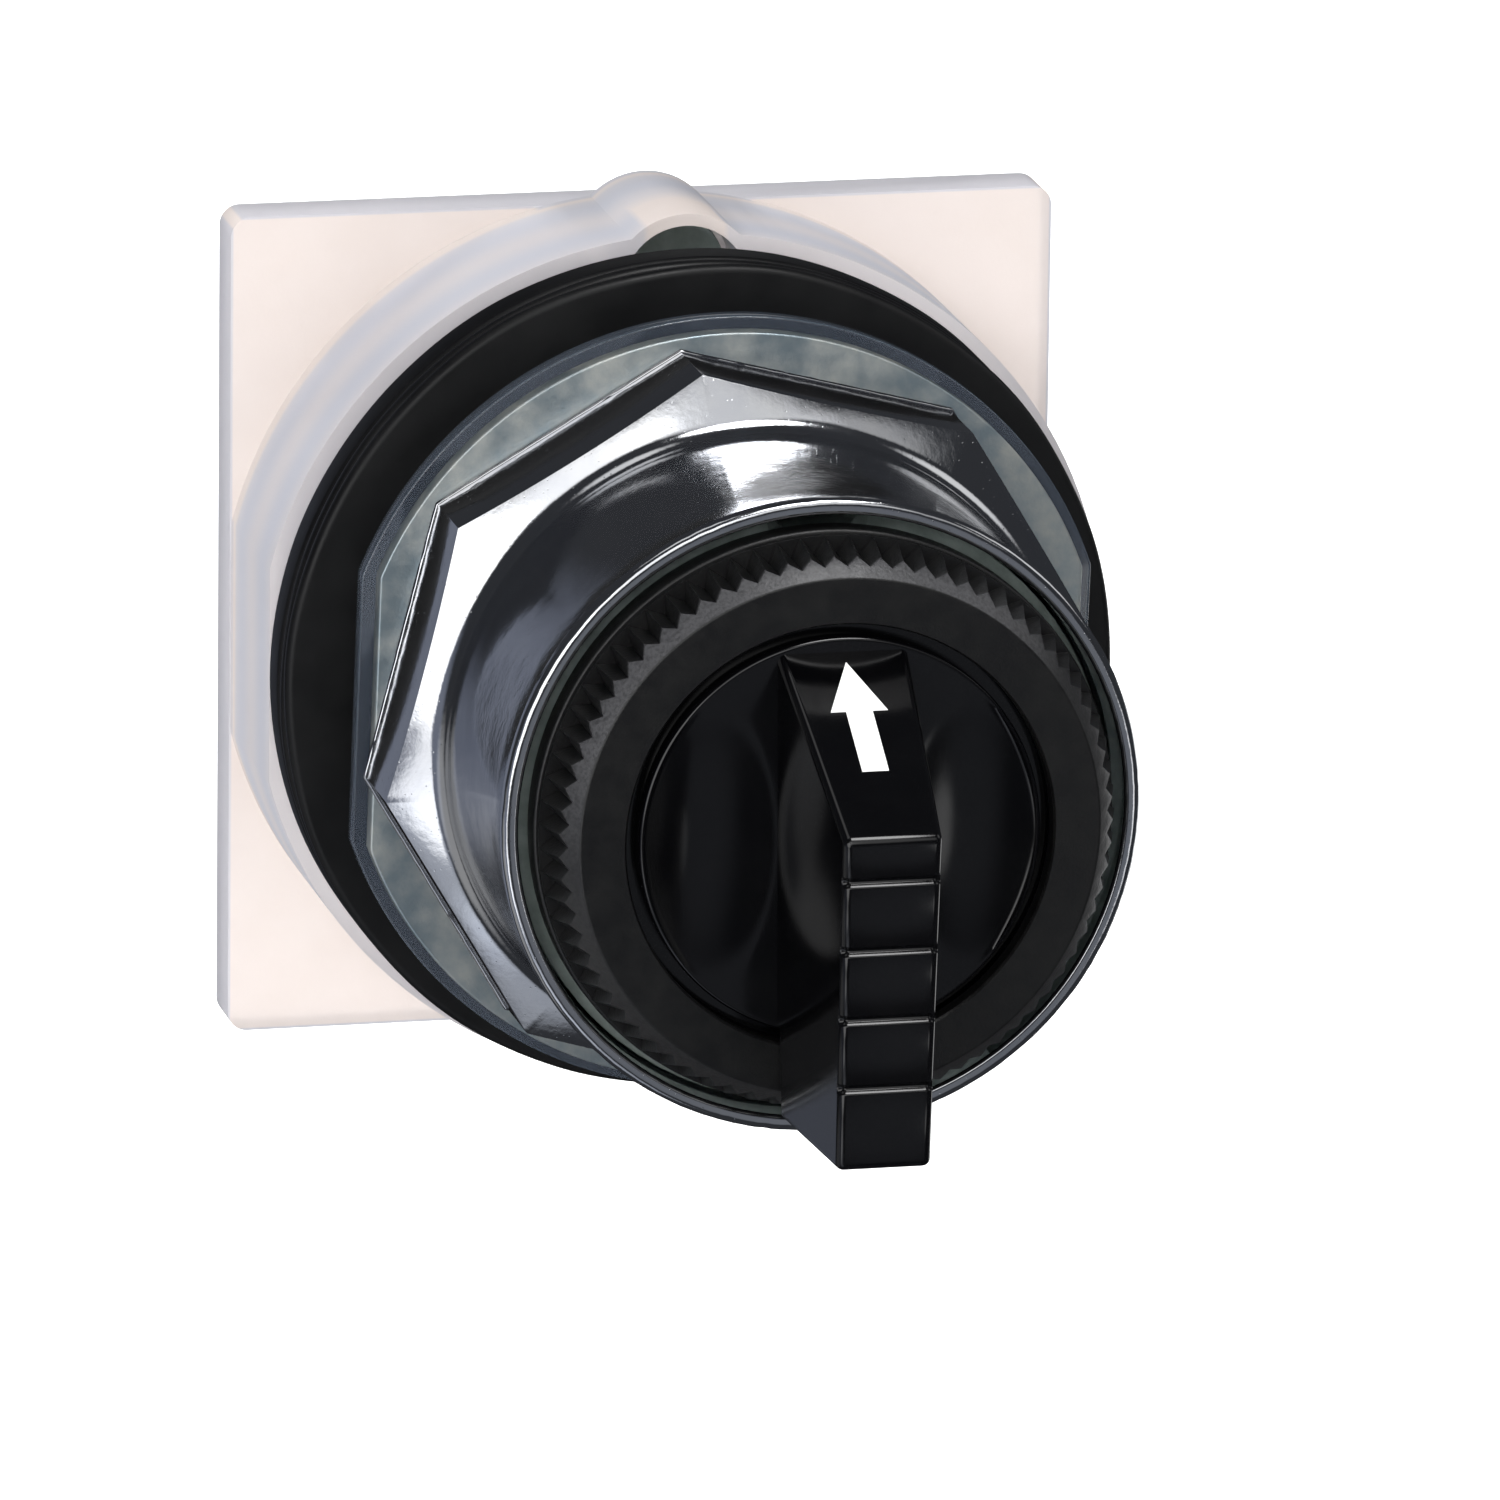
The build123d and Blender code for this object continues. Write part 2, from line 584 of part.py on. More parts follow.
def retaining_clip():
    """Open spring clip in the stem's tail groove."""
    low = CLIP_FRONT - CLIP_THICK
    ring = tube(CLIP_R, CLIP_GROOVE_R + 0.02, low, CLIP_FRONT)
    return ring - block(2.6, CLIP_R + 1, low, CLIP_FRONT, y=-(CLIP_R + 1) / 2)


def square_drive(low, high):
    """Square hole that takes the stem's drive."""
    side = STEM_SQUARE + 2 * SNUG
    return block(side, side, low, high)


def index_wheel():
    """Detent wheel: two radial ball pockets and an arc slot for the stop pin."""
    wheel = disc(BARREL_BORE_R - RUNNING, WHEEL_BACK, WHEEL_FRONT)
    wheel -= square_drive(WHEEL_BACK, WHEEL_FRONT)
    middle = (WHEEL_BACK + WHEEL_FRONT) / 2
    depth = BARREL_BORE_R - BALL_POCKET_FLOOR
    for side in (-1, 1):
        centre = side * (BALL_POCKET_FLOOR + depth / 2)
        wheel -= across_axis(BALL_R + RUNNING, depth, middle, centre)
    slot_r = STOP_PIN_R + 0.1
    slot_back = WHEEL_FRONT - STOP_SLOT_DEPTH
    sweep_angle = 2 * (INDEX_ANGLE + STOP_OVERRUN)
    start = 90 - sweep_angle / 2
    wedge = tube(STOP_RADIUS + slot_r, STOP_RADIUS - slot_r, slot_back, WHEEL_FRONT)
    wedge &= arc_sector(start, sweep_angle, slot_back, WHEEL_FRONT)
    for end in (start, start + sweep_angle):
        x, y = STOP_RADIUS * cos(radians(end)), STOP_RADIUS * sin(radians(end))
        wedge += disc(slot_r, slot_back, WHEEL_FRONT, x, y)
    return wheel - wedge


def arc_sector(start, sweep_angle, low, high):
    """Pie-shaped prism about the axis."""
    sector = Cylinder(
        BARREL_R, high - low, arc_size=sweep_angle, align=(Align.NONE, Align.NONE, Align.MIN)
    )
    return Pos(0, 0, low) * Rot(Z=start) * sector


def ball_x():
    """Distance of each detent ball's centre from the axis."""
    return BARREL_BORE_R - RUNNING - BALL_R


def detent_balls():
    """Two steel balls in the wheel's pockets."""
    middle = (WHEEL_BACK + WHEEL_FRONT) / 2
    return Compound(children=[Pos(side * ball_x(), 0, middle) * Sphere(BALL_R) for side in (-1, 1)])


def detent_springs():
    """Two small springs behind the detent balls."""
    middle = (WHEEL_BACK + WHEEL_FRONT) / 2
    length = ball_x() - BALL_R - BALL_POCKET_FLOOR
    radius = BALL_R - DETENT_WIRE_R - 0.35
    springs = []
    for side in (-1, 1):
        spring = coil(radius, DETENT_WIRE_R, length, DETENT_TURNS)
        springs.append(Pos(side * BALL_POCKET_FLOOR, 0, middle) * Rot(Y=90 * side) * spring)
    return Compound(children=springs)


def stem_bearing():
    """Plain bearing bush in the sleeve."""
    end = SLEEVE_BACK + BEARING_LENGTH
    return tube(BEARING_R, STEM_R + RUNNING, SLEEVE_BACK, end)


def stop_pin():
    """Pin from the sleeve into the wheel's slot; it ends the knob's travel."""
    return disc(STOP_PIN_R, WHEEL_FRONT - STOP_SLOT_DEPTH + 0.5, SLEEVE_BACK + 4.0, y=STOP_RADIUS)


def cam():
    """Swash cam on the stem: its tilted face drives the two plungers opposite ways."""
    low = CAM_PLANE - CAM_SLOPE * CAM_R - 1
    body = disc(CAM_R, low, WHEEL_BACK)
    cutter = Box(6 * CAM_R, 6 * CAM_R, 2 * CAM_R, align=(Align.CENTER, Align.CENTER, Align.MAX))
    body -= Pos(0, 0, CAM_PLANE) * Rot(X=CAM_TILT) * cutter
    body += disc(CAM_HUB_R, CAM_HUB_END, WHEEL_BACK)
    tail_hole = disc(STEM_TAIL_R + SNUG, CAM_HUB_END, STEM_TAIL_FRONT)
    return body - square_drive(STEM_TAIL_FRONT, WHEEL_BACK) - tail_hole


def plunger(side):
    """Spring-loaded pin with a ball nose under the cam and a flat end at the seat."""
    x = side * PLUNGER_X
    pin = disc(PLUNGER_R, PLUNGER_RECESS, PLUNGER_TIP_Z, x)
    pin += Pos(x, 0, PLUNGER_TIP_Z) * Sphere(PLUNGER_R)
    return pin + disc(PLUNGER_COLLAR_R, COLLAR_BACK, COLLAR_BACK + PLUNGER_COLLAR_THICK, x)


def return_spring(side):
    """Coil between the guide and the plunger's collar."""
    radius = (PLUNGER_R + PLUNGER_COLLAR_R) / 2 + 0.05
    spring = coil(radius, RETURN_WIRE_R, RETURN_SPRING_LENGTH, RETURN_TURNS)
    return Pos(side * PLUNGER_X, 0, HUB_BACK) * spring


def plunger_guide():
    """Rear guide plate that fills the base's opening and carries both plungers."""
    back = HUB_BACK - GUIDE_FLANGE_THICK - GUIDE_THICK
    guide = disc(GUIDE_OPENING_R - SNUG, back, PLATE_THICK)
    guide += disc(GUIDE_FLANGE_R, PLATE_THICK, HUB_BACK)
    for x in (-PLUNGER_X, PLUNGER_X):
        guide -= disc(PLUNGER_R + RUNNING, back, HUB_BACK, x)
    head_front = PLATE_THICK + GUIDE_FLANGE_THICK * 0.6
    for y in (-GUIDE_SCREW_RADIUS, GUIDE_SCREW_RADIUS):
        guide -= disc(GUIDE_SCREW_R + SNUG, back, HUB_BACK, y=y)
        guide -= disc(GUIDE_SCREW_HEAD_R + SNUG, back, head_front, y=y)
    return guide


def guide_screws():
    """Two screws that hold the guide to the body's hub."""
    head_front = PLATE_THICK + GUIDE_FLANGE_THICK * 0.6
    screws = []
    for y in (-GUIDE_SCREW_RADIUS, GUIDE_SCREW_RADIUS):
        head = disc(GUIDE_SCREW_HEAD_R, PLATE_THICK, head_front, y=y)
        tip = HUB_BACK + GUIDE_SCREW_DEPTH - 0.2
        screws.append(head + disc(GUIDE_SCREW_R, head_front, tip, y=y))
    return Compound(children=screws)


def build():
    """Write every piece."""
    os.makedirs("parts", exist_ok=True)
    save("mounting_base", mounting_base())
    save("base_screws", base_screws())
    save("bushing_body", bushing_body())
    save("sealing_gasket", gasket(DRUM_FRONT, SPACER_BACK))
    save("spacer_gasket_rear", gasket(SPACER_BACK, SPACER_BACK + SPACER_THICK))
    save("spacer_gasket_front", gasket(SPACER_BACK + SPACER_THICK, GASKET_FRONT))
    save("clear_washer", clear_washer())
    save("trim_washer", trim_washer())
    save("ring_nut", ring_nut())
    save("front_sleeve", front_sleeve())
    save("knob_retaining_ring", knob_retaining_ring())
    save("selector_knob", selector_knob())
    save("arrow_inlay", arrow_inlay())
    save("knob_stem", knob_stem())
    save("knob_screw", knob_screw())
    save("stem_seal", stem_seal())
    save("stem_bearing", stem_bearing())
    save("retaining_clip", retaining_clip())
    save("index_wheel", index_wheel())
    save("detent_balls", detent_balls())
    save("detent_springs", detent_springs())
    save("stop_pin", stop_pin())
    save("cam", cam())
    save("plunger_left", plunger(-1))
    save("plunger_right", plunger(1))
    save("return_spring_left", return_spring(-1))
    save("return_spring_right", return_spring(1))
    save("plunger_guide", plunger_guide())
    save("guide_screws", guide_screws())


build()
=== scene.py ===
import json
import logging
from dataclasses import dataclass
from enum import Enum
from math import atan2, cos, degrees, exp, hypot, log1p, pi, radians, sin, sqrt, tan
from typing import Any, Iterable, Optional, Sequence

import bmesh
import bpy
from mathutils import Matrix, Vector, noise


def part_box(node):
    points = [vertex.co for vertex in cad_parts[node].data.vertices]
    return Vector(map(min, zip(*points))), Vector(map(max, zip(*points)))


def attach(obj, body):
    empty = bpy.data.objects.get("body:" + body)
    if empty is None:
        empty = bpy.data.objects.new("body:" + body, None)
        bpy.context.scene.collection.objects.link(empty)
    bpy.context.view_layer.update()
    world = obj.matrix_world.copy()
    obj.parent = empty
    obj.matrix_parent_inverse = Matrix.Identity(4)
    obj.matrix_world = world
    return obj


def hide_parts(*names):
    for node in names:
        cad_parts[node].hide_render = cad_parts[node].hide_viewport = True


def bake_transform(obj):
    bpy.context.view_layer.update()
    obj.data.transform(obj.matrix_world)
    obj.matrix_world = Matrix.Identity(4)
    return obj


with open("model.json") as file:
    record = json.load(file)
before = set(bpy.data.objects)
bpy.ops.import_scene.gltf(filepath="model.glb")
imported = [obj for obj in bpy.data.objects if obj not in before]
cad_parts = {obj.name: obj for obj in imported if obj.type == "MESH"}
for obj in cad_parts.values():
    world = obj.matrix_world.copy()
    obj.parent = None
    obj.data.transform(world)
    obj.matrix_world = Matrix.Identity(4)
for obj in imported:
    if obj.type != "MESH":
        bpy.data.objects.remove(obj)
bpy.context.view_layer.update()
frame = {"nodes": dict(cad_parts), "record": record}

log = logging.getLogger("selector")

MM = 0.001  # metres in a millimetre
MERGE_MM = 0.002  # corners closer than this are one
SMOOTH_ANGLE = radians(32)  # a fold sharper than this shows as an edge
FLAT_COS = 0.99  # how nearly a face must look a given way to be shaded flat
SOFTEN_ANGLE = 35.0  # degrees of fold past which an edge is rounded
CUT_TOLERANCE = 1e-5  # millimetres within which a corner is on a cutting plane
ROUGH_SHARE = 0.003  # how far a cast edge wanders, as a share of its radius
Profile = Sequence[tuple[float, float, float]]  # radius, height, corner rounding
Triple = Sequence[float]  # a place or a direction
Tree, Socket, Node = bpy.types.NodeTree, bpy.types.NodeSocket, bpy.types.Node
Shape, Edge, Corner = bmesh.types.BMesh, bmesh.types.BMEdge, bmesh.types.BMVert


class Body(Enum):
    """The bodies of the frame that a piece can ride on."""

    HOUSING = "housing"
    SELECTOR = "selector"
    WASHERS = "washer_pair"
    NUT = "nut"
    LEFT_PLUNGER = "left_plunger"
    RIGHT_PLUNGER = "right_plunger"


class Slot(Enum):
    """The record's material slots."""

    NYLON = "translucent_nylon"
    ZINC_CAST = "die_cast_zinc"
    RUBBER = "black_rubber"
    CLEAR = "clear_plastic"
    ZINC_PLATE = "zinc_plate"
    CHROME = "chrome_plate"
    MOULDING = "black_moulding"
    GLOSS = "gloss_black"
    PRINT = "white_print"
    STEEL = "steel"
    SPRING = "spring_steel"
    BRASS = "bearing_brass"
    ACETAL = "acetal"


# ---------------------------------------------------------------- materials


def linear(code: str) -> tuple[float, float, float, float]:
    """Turn an sRGB hex colour into linear light.

    Args:
        code: six hex digits, with or without a hash.

    Returns:
        Red, green, blue and an alpha of 1.
    """
    code = code.lstrip("#")
    parts = [int(code[i : i + 2], 16) / 255 for i in (0, 2, 4)]
    r, g, b = (p / 12.92 if p <= 0.04045 else ((p + 0.055) / 1.055) ** 2.4 for p in parts)
    return (r, g, b, 1.0)


def per_mm(size: float) -> float:
    """Texture scale, on Object coordinates in metres, of features this many millimetres wide."""
    return 1.0 / (size * MM)


def add(tree: Tree, kind: str, inputs: Optional[dict[Any, Any]] = None, **settings: Any) -> Node:
    """Add one node with its settings, its constants and its links.

    Args:
        tree: the node tree.
        kind: the node's type name.
        inputs: socket name or number against a constant or the socket that feeds it.
        **settings: the node's own properties.

    Returns:
        The new node.
    """
    made = tree.nodes.new(kind)
    for key, value in settings.items():
        setattr(made, key, value)
    for key, value in (inputs or {}).items():
        if isinstance(value, Socket):
            tree.links.new(value, made.inputs[key])
        else:
            made.inputs[key].default_value = value
    return made


def maths(tree: Tree, operation: str, *terms: Any) -> Socket:
    """Add a Math node on the terms, constants or sockets, and return its result."""
    return add(tree, "ShaderNodeMath", dict(enumerate(terms)), operation=operation).outputs[0]


def ramp(
    tree: Tree,
    value: Socket,
    start: float,
    end: float,
    low: float = 0.0,
    high: float = 1.0,
    smooth: bool = False,
) -> Socket:
    """Map a value from one range to another, held at both ends.

    Args:
        tree: the node tree.
        value: the socket to map.
        start: the value that gives low.
        end: the value that gives high.
        low: result at the start.
        high: result at the end.
        smooth: ease in and out instead of going straight.

    Returns:
        The mapped socket.
    """
    limits = {"Value": value, "From Min": start, "From Max": end, "To Min": low, "To Max": high}
    kind = "SMOOTHSTEP" if smooth else "LINEAR"
    return add(tree, "ShaderNodeMapRange", limits, interpolation_type=kind).outputs[0]


def mixed(tree: Tree, share: Socket, first: Any, second: Any) -> Socket:
    """Mix two colours by a share of the second."""
    inputs = {0: share, 6: first, 7: second}
    return add(tree, "ShaderNodeMix", inputs, data_type="RGBA").outputs[2]


def mottle(tree: Tree, place: Socket, size: float, **inputs: float) -> Socket:
    """Add noise with features this many millimetres wide."""
    inputs = {"Vector": place, "Scale": per_mm(size), **inputs}
    return add(tree, "ShaderNodeTexNoise", inputs).outputs["Fac"]


def raised(tree: Tree, height: Socket, depth: float, **inputs: Any) -> Socket:
    """Turn a height into a bumped normal, at a depth in millimetres."""
    inputs = {"Height": height, "Distance": depth * MM, "Strength": 1.0, **inputs}
    return add(tree, "ShaderNodeBump", inputs).outputs["Normal"]


@dataclass(frozen=True)
class Finish:
    """A surface: two close colours in patches, uneven gloss and a fine grain."""

    name: str
    colour: str
    second: str
    metallic: float = 0.0
    roughness: float = 0.5
    spread: float = 0.05
    patch_mm: float = 3.0
    grain_mm: float = 0.2
    grain_depth_mm: float = 0.004
    specular: float = 0.5
    ior: float = 1.5
    transmission: float = 0.0

    def material(self) -> bpy.types.Material:
        """Build the material once and hand out the same one after that."""
        if self.name in bpy.data.materials:
            return bpy.data.materials[self.name]
        made = bpy.data.materials.new(self.name)
        made.use_nodes = True
        tree = made.node_tree
        tree.nodes.clear()
        constants = {
            "Metallic": self.metallic,
            "IOR": self.ior,
            "Specular IOR Level": self.specular,
            "Transmission Weight": self.transmission,
        }
        shader = add(tree, "ShaderNodeBsdfPrincipled", constants)
        add(tree, "ShaderNodeOutputMaterial", {"Surface": shader.outputs["BSDF"]})
        place = add(tree, "ShaderNodeTexCoord").outputs["Object"]
        for socket, source in self.pattern(tree, place).items():
            tree.links.new(source, shader.inputs[socket])
        return made

    def pattern(self, tree: Tree, place: Socket) -> dict[str, Socket]:
        """Make the patches, the uneven gloss and the grain.

        Args:
            tree: the material's nodes.
            place: Object coordinates.

        Returns:
            Shader socket name against what feeds it.
        """
        patches = mottle(tree, place, self.patch_mm, Detail=4.0, Roughness=0.6)
        shade = ramp(tree, patches, 0.35, 0.65)
        dull, shiny = self.roughness + self.spread, max(0.0, self.roughness - self.spread)
        grain = mottle(tree, place, self.grain_mm, Detail=2.0)
        return {
            "Base Color": mixed(tree, shade, linear(self.colour), linear(self.second)),
            "Roughness": ramp(tree, patches, 0.3, 0.7, shiny, dull),
            "Normal": raised(tree, grain, self.grain_depth_mm),
        }


@dataclass(frozen=True)
class NaturalNylon(Finish):
    """Unfilled moulded nylon: cream where light comes through; a painted blue-grey stands for the
    cooler light at the plate's edge and on the drum's wall.
    """

    edge_colour: str = "BCC1CE"
    half_side_mm: float = 21.0
    rim_mm: float = 0.16
    rim_share: float = 0.7
    plate_mm: tuple[float, float] = (13.6, 13.9)  # where the plate starts along the axis
    drum_mm: tuple[float, float] = (13.6, 12.9)
    drum_share: float = 0.8
    window_mm: float = 1.9  # half width of the cream strip over the lug's pocket
    window_end_mm: tuple[float, float] = (8.0, 9.4)
    band_mm: float = 5.2
    band_low: float = 0.55

    def pattern(self, tree: Tree, place: Socket) -> dict[str, Socket]:
        """Add the painted cooler light near the plate's edge and on the drum's wall, in bands along
        the drum and left out over the lug's pocket.
        """
        made = super().pattern(tree, place)
        across, along, up = add(tree, "ShaderNodeSeparateXYZ", {0: place}).outputs
        wide, tall = maths(tree, "ABSOLUTE", across), maths(tree, "ABSOLUTE", up)
        inside = self.half_side_mm - self.rim_mm
        outer = maths(tree, "MAXIMUM", wide, tall)
        rim = ramp(tree, outer, inside * MM, (inside + 0.1) * MM, high=self.rim_share, smooth=True)
        on_plate = ramp(tree, along, *(mm * MM for mm in self.plate_mm))
        rim = maths(tree, "MULTIPLY", rim, on_plate)
        beside = ramp(tree, wide, self.window_mm * MM, (self.window_mm + 0.3) * MM)
        behind = ramp(tree, along, *(mm * MM for mm in self.window_end_mm))
        start, end = (mm * MM for mm in self.drum_mm)
        drum = ramp(tree, along, start, end, high=self.drum_share, smooth=True)
        wave = maths(tree, "SINE", maths(tree, "MULTIPLY", along, 2 * pi / (self.band_mm * MM)))
        wave = ramp(tree, wave, -1, 1, self.band_low)
        for share in (wave, maths(tree, "MAXIMUM", beside, behind)):
            drum = maths(tree, "MULTIPLY", drum, share)
        # The blue-grey is painted light: the cooler look of the nylon at the plate's edge and on
        # the drum's wall.
        painted_cool_light = maths(tree, "MAXIMUM", rim, drum)
        made["Base Color"] = mixed(tree, painted_cool_light, made["Base Color"], linear(self.edge_colour))
        return made


@dataclass(frozen=True)
class BrightChrome(Finish):
    """Chrome over a polished casting: mirror, a slow ripple, and pits in the plate."""

    ripple_mm: float = 2.2
    ripple_depth_mm: float = 0.02
    pit_mm: float = 0.35
    pit_depth_mm: float = 0.01
    pit_share: float = 0.12

    def pattern(self, tree: Tree, place: Socket) -> dict[str, Socket]:
        """Add the ripple of the hand polish and the pits."""
        made = super().pattern(tree, place)
        ripple = mottle(tree, place, self.ripple_mm, Detail=3.0)
        waves = raised(tree, ripple, self.ripple_depth_mm, Normal=made["Normal"])
        inputs = {"Vector": place, "Scale": per_mm(self.pit_mm)}
        cells = add(tree, "ShaderNodeTexVoronoi", inputs).outputs["Distance"]
        pits = ramp(tree, cells, 0.0, self.pit_share)
        made["Normal"] = raised(tree, pits, self.pit_depth_mm, Strength=0.6, Normal=waves)
        return made


@dataclass(frozen=True)
class SheenPaintedMoulding(Finish):
    """The same black nylon, with a painted grey sheen on the upper part of its sloping edge, where
    the light from above falls.
    """

    sheen_colour: str = "3C3C3E"
    front: float = 0.0  # where the ring's face lies along the switch axis, in metres
    inner_mm: float = 12.79
    outer_mm: float = 13.64
    slope_mm: tuple[float, float] = (0.16, 0.08)  # how far under the slope the painted sheen fades
    speckle_mm: float = 0.16
    # the painted sheen is strongest on the side that faces this way, up towards the light
    towards: tuple[float, float, float] = (-0.34, 0.0, 0.94)
    lit_side_mm: tuple[float, float] = (3.5, 8.5)
    unlit_side_share: float = 0.22

    def pattern(self, tree: Tree, place: Socket) -> dict[str, Socket]:
        """Add the painted sheen: a grey band between two radii, speckled, and faint on the side
        away from the light.
        """
        made = super().pattern(tree, place)
        across, along, up = add(tree, "ShaderNodeSeparateXYZ", {0: place}).outputs
        flat = add(tree, "ShaderNodeCombineXYZ", {0: across, 2: up}).outputs[0]
        reach = add(tree, "ShaderNodeVectorMath", {0: flat}, operation="LENGTH").outputs["Value"]
        inner, outer = self.inner_mm * MM, self.outer_mm * MM
        level = inner - self.front
        below, over = (level - mm * MM for mm in self.slope_mm)
        speckle = mottle(tree, place, self.speckle_mm, Detail=3.0)
        inputs = {0: place, 1: self.towards}
        side = add(tree, "ShaderNodeVectorMath", inputs, operation="DOT_PRODUCT").outputs["Value"]
        low, high = (mm * MM for mm in self.lit_side_mm)
        # The grey band is a painted sheen on the ring's slope, lighter on the upper side that faces
        # the light.
        painted_sheen = ramp(tree, reach, inner, inner + 0.05 * MM)
        for share in (
            ramp(tree, reach, outer + 0.06 * MM, outer),
            ramp(tree, maths(tree, "SUBTRACT", reach, along), below, over),
            ramp(tree, speckle, 0.3, 0.6, 0.45),
            ramp(tree, side, low, high, self.unlit_side_share),
        ):
            painted_sheen = maths(tree, "MULTIPLY", painted_sheen, share)
        made["Base Color"] = mixed(tree, painted_sheen, made["Base Color"], linear(self.sheen_colour))
        return made


# Unfilled nylon reads as a milky, pinkish plate that the light of the room comes through.
NYLON = NaturalNylon(
    "moulded natural nylon", "E3D9D4", "DED3CD", roughness=0.38, patch_mm=9, transmission=0.4
)
# As-cast zinc reads dull and slightly green-grey, with the mottle of the die.
CAST_ZINC = Finish(
    "die-cast zinc", "ACB8B3", "929E99", metallic=0.4, roughness=0.45, patch_mm=1.6,
    grain_depth_mm=0.012,
)
# Moulded rubber reads black with a soft grey bloom.
RUBBER = Finish(
    "moulded nitrile rubber", "060607", "0C0C0D", roughness=0.46, spread=0.08, patch_mm=5.0,
    grain_mm=0.25, specular=0.4,
)
# Clear sheet reads as a cool grey film over whatever lies behind, light along its cut edge.
CLEAR_SHEET = Finish(
    "clear polycarbonate sheet", "97A3B5", "8B98AC", roughness=0.08, spread=0.03,
    transmission=0.92, patch_mm=5, grain_depth_mm=0.001, ior=1.58,
)
# Passivated zinc plate reads blue-grey with paler patches and a fine sparkle.
ZINC_PLATE = Finish(
    "passivated zinc plate", "9FAEB5", "CBCFCB", metallic=0.9, roughness=0.42, spread=0.1,
    patch_mm=2.4, grain_mm=0.18, grain_depth_mm=0.014,
)
# Bright chrome mirrors the studio, a little wavy, with fine pits in the plate.
CHROME = BrightChrome(
    "bright chrome plate", "D9DADC", "CFD1D6", metallic=1.0, roughness=0.1, spread=0.04,
    patch_mm=4, grain_mm=0.22, grain_depth_mm=0.003,
)
SPARKED = dict(
    colour="060607", second="0B0B0B", roughness=0.4, spread=0.06, patch_mm=1.2, grain_mm=0.14,
    grain_depth_mm=0.014, specular=0.6,
)
# Glass-filled nylon from a sparked mould reads charcoal, matte, with an even fine grain.
MOULDING = Finish("spark-textured black nylon", **SPARKED)
# The same black nylon, with a painted grey sheen on the upper part of the ring's slope, where the
# light from above falls.
PAINTED_SHEEN_MOULDING = SheenPaintedMoulding(
    "black nylon with painted sheen", front=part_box("knob_retaining_ring")[0].y, **SPARKED
)
# Polished phenolic reads jet black with clean, deep reflections.
GLOSS = Finish(
    "polished black phenolic", "030304", "050506", roughness=0.12, spread=0.03, patch_mm=4,
    grain_mm=0.6, grain_depth_mm=0.0015, ior=1.55,
)
# Filled paint reads flat white with a little tooth.
PRINT = Finish("white pad-printed enamel", "F4F4F2", "ECECEA", roughness=0.5, patch_mm=0.8)
# Machined steel reads mid grey with a soft sheen.
STEEL = Finish(
    "zinc-plated machined steel", "B4B7BA", "A2A6AA", metallic=1.0, roughness=0.3, patch_mm=1.2
)
# Drawn wire reads brighter and shinier than the machined steel.
SPRING = Finish(
    "drawn spring steel", "C2C4C6", "A9ACAF", metallic=1.0, roughness=0.22, patch_mm=0.6
)
# Turned brass reads a dull warm yellow.
BRASS = Finish("turned brass", "C9A253", "B8903F", metallic=1.0, roughness=0.25, patch_mm=1.0)
# Natural acetal reads opaque milk white with a waxy sheen.
ACETAL = Finish("moulded natural acetal", "E9E7DF", "E2DFD5", roughness=0.35, patch_mm=2.0)

FINISHES = {
    Slot.NYLON: NYLON,
    Slot.ZINC_CAST: CAST_ZINC,
    Slot.RUBBER: RUBBER,
    Slot.CLEAR: CLEAR_SHEET,
    Slot.ZINC_PLATE: ZINC_PLATE,
    Slot.CHROME: CHROME,
    Slot.MOULDING: MOULDING,
    Slot.GLOSS: GLOSS,
    Slot.PRINT: PRINT,
    Slot.STEEL: STEEL,
    Slot.SPRING: SPRING,
    Slot.BRASS: BRASS,
    Slot.ACETAL: ACETAL,
}


# ---------------------------------------------------------------- mesh tools


def back_of(node: str) -> float:
    """Place of a CAD node's rear face along the switch axis, in metres."""
    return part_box(node)[1].y


def length_of(node: str) -> float:
    """Length of a CAD node along the switch axis, in millimetres."""
    low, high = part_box(node)
    return (high.y - low.y) / MM


def turned(profile: Profile, steps: int = 192, cuts: Optional[dict[int, int]] = None) -> Shape:
    """Turn a closed half section round the axis.

    Args:
        profile: corners as radius, height and rounding.
        steps: columns round the axis.
        cuts: extra points on the edge that starts at a corner.

    Returns:
        The closed turned shape, in millimetres, axis along Z.
    """
    bm = bmesh.new()
    corners = [bm.verts.new((r, 0, z)) for r, z, _ in profile]
    edges = [bm.edges.new((a, b)) for a, b in zip(corners, corners[1:] + corners[:1])]
    for index, count in (cuts or {}).items():
        bmesh.ops.subdivide_edges(bm, edges=[edges[index]], cuts=count)
    for radius, height, rounding in profile:
        if rounding > 0:
            spot = Vector((radius, 0, height))
            bmesh.ops.bevel(
                bm,
                geom=[min(bm.verts, key=lambda v: (v.co - spot).length_squared)],
                affect="VERTICES",
                offset=rounding,
                offset_type="OFFSET",
                segments=4,
                profile=0.5,
                material=-1,
            )
    bmesh.ops.spin(
        bm,
        geom=bm.verts[:] + bm.edges[:],
        axis=(0, 0, 1),
        cent=(0, 0, 0),
        angle=2 * pi,
        steps=steps,
        use_merge=True,
    )
    return tidy(bm)


def tidy(bm: Shape) -> Shape:
    """Merge doubles, then turn every face outwards."""
    bmesh.ops.remove_doubles(bm, verts=bm.verts, dist=MERGE_MM)
    bmesh.ops.recalc_face_normals(bm, faces=bm.faces)
    return bm


def folds(bm: Shape, angle: float) -> list[Edge]:
    """List the edges that fold sharper than an angle in degrees."""
    pairs = (e for e in bm.edges if len(e.link_faces) == 2)
    return [e for e in pairs if e.calc_face_angle() > radians(angle)]


def reach_of(v: Corner) -> float:
    """Distance of a corner from a bench drawing's axis."""
    return hypot(v.co.x, v.co.y)


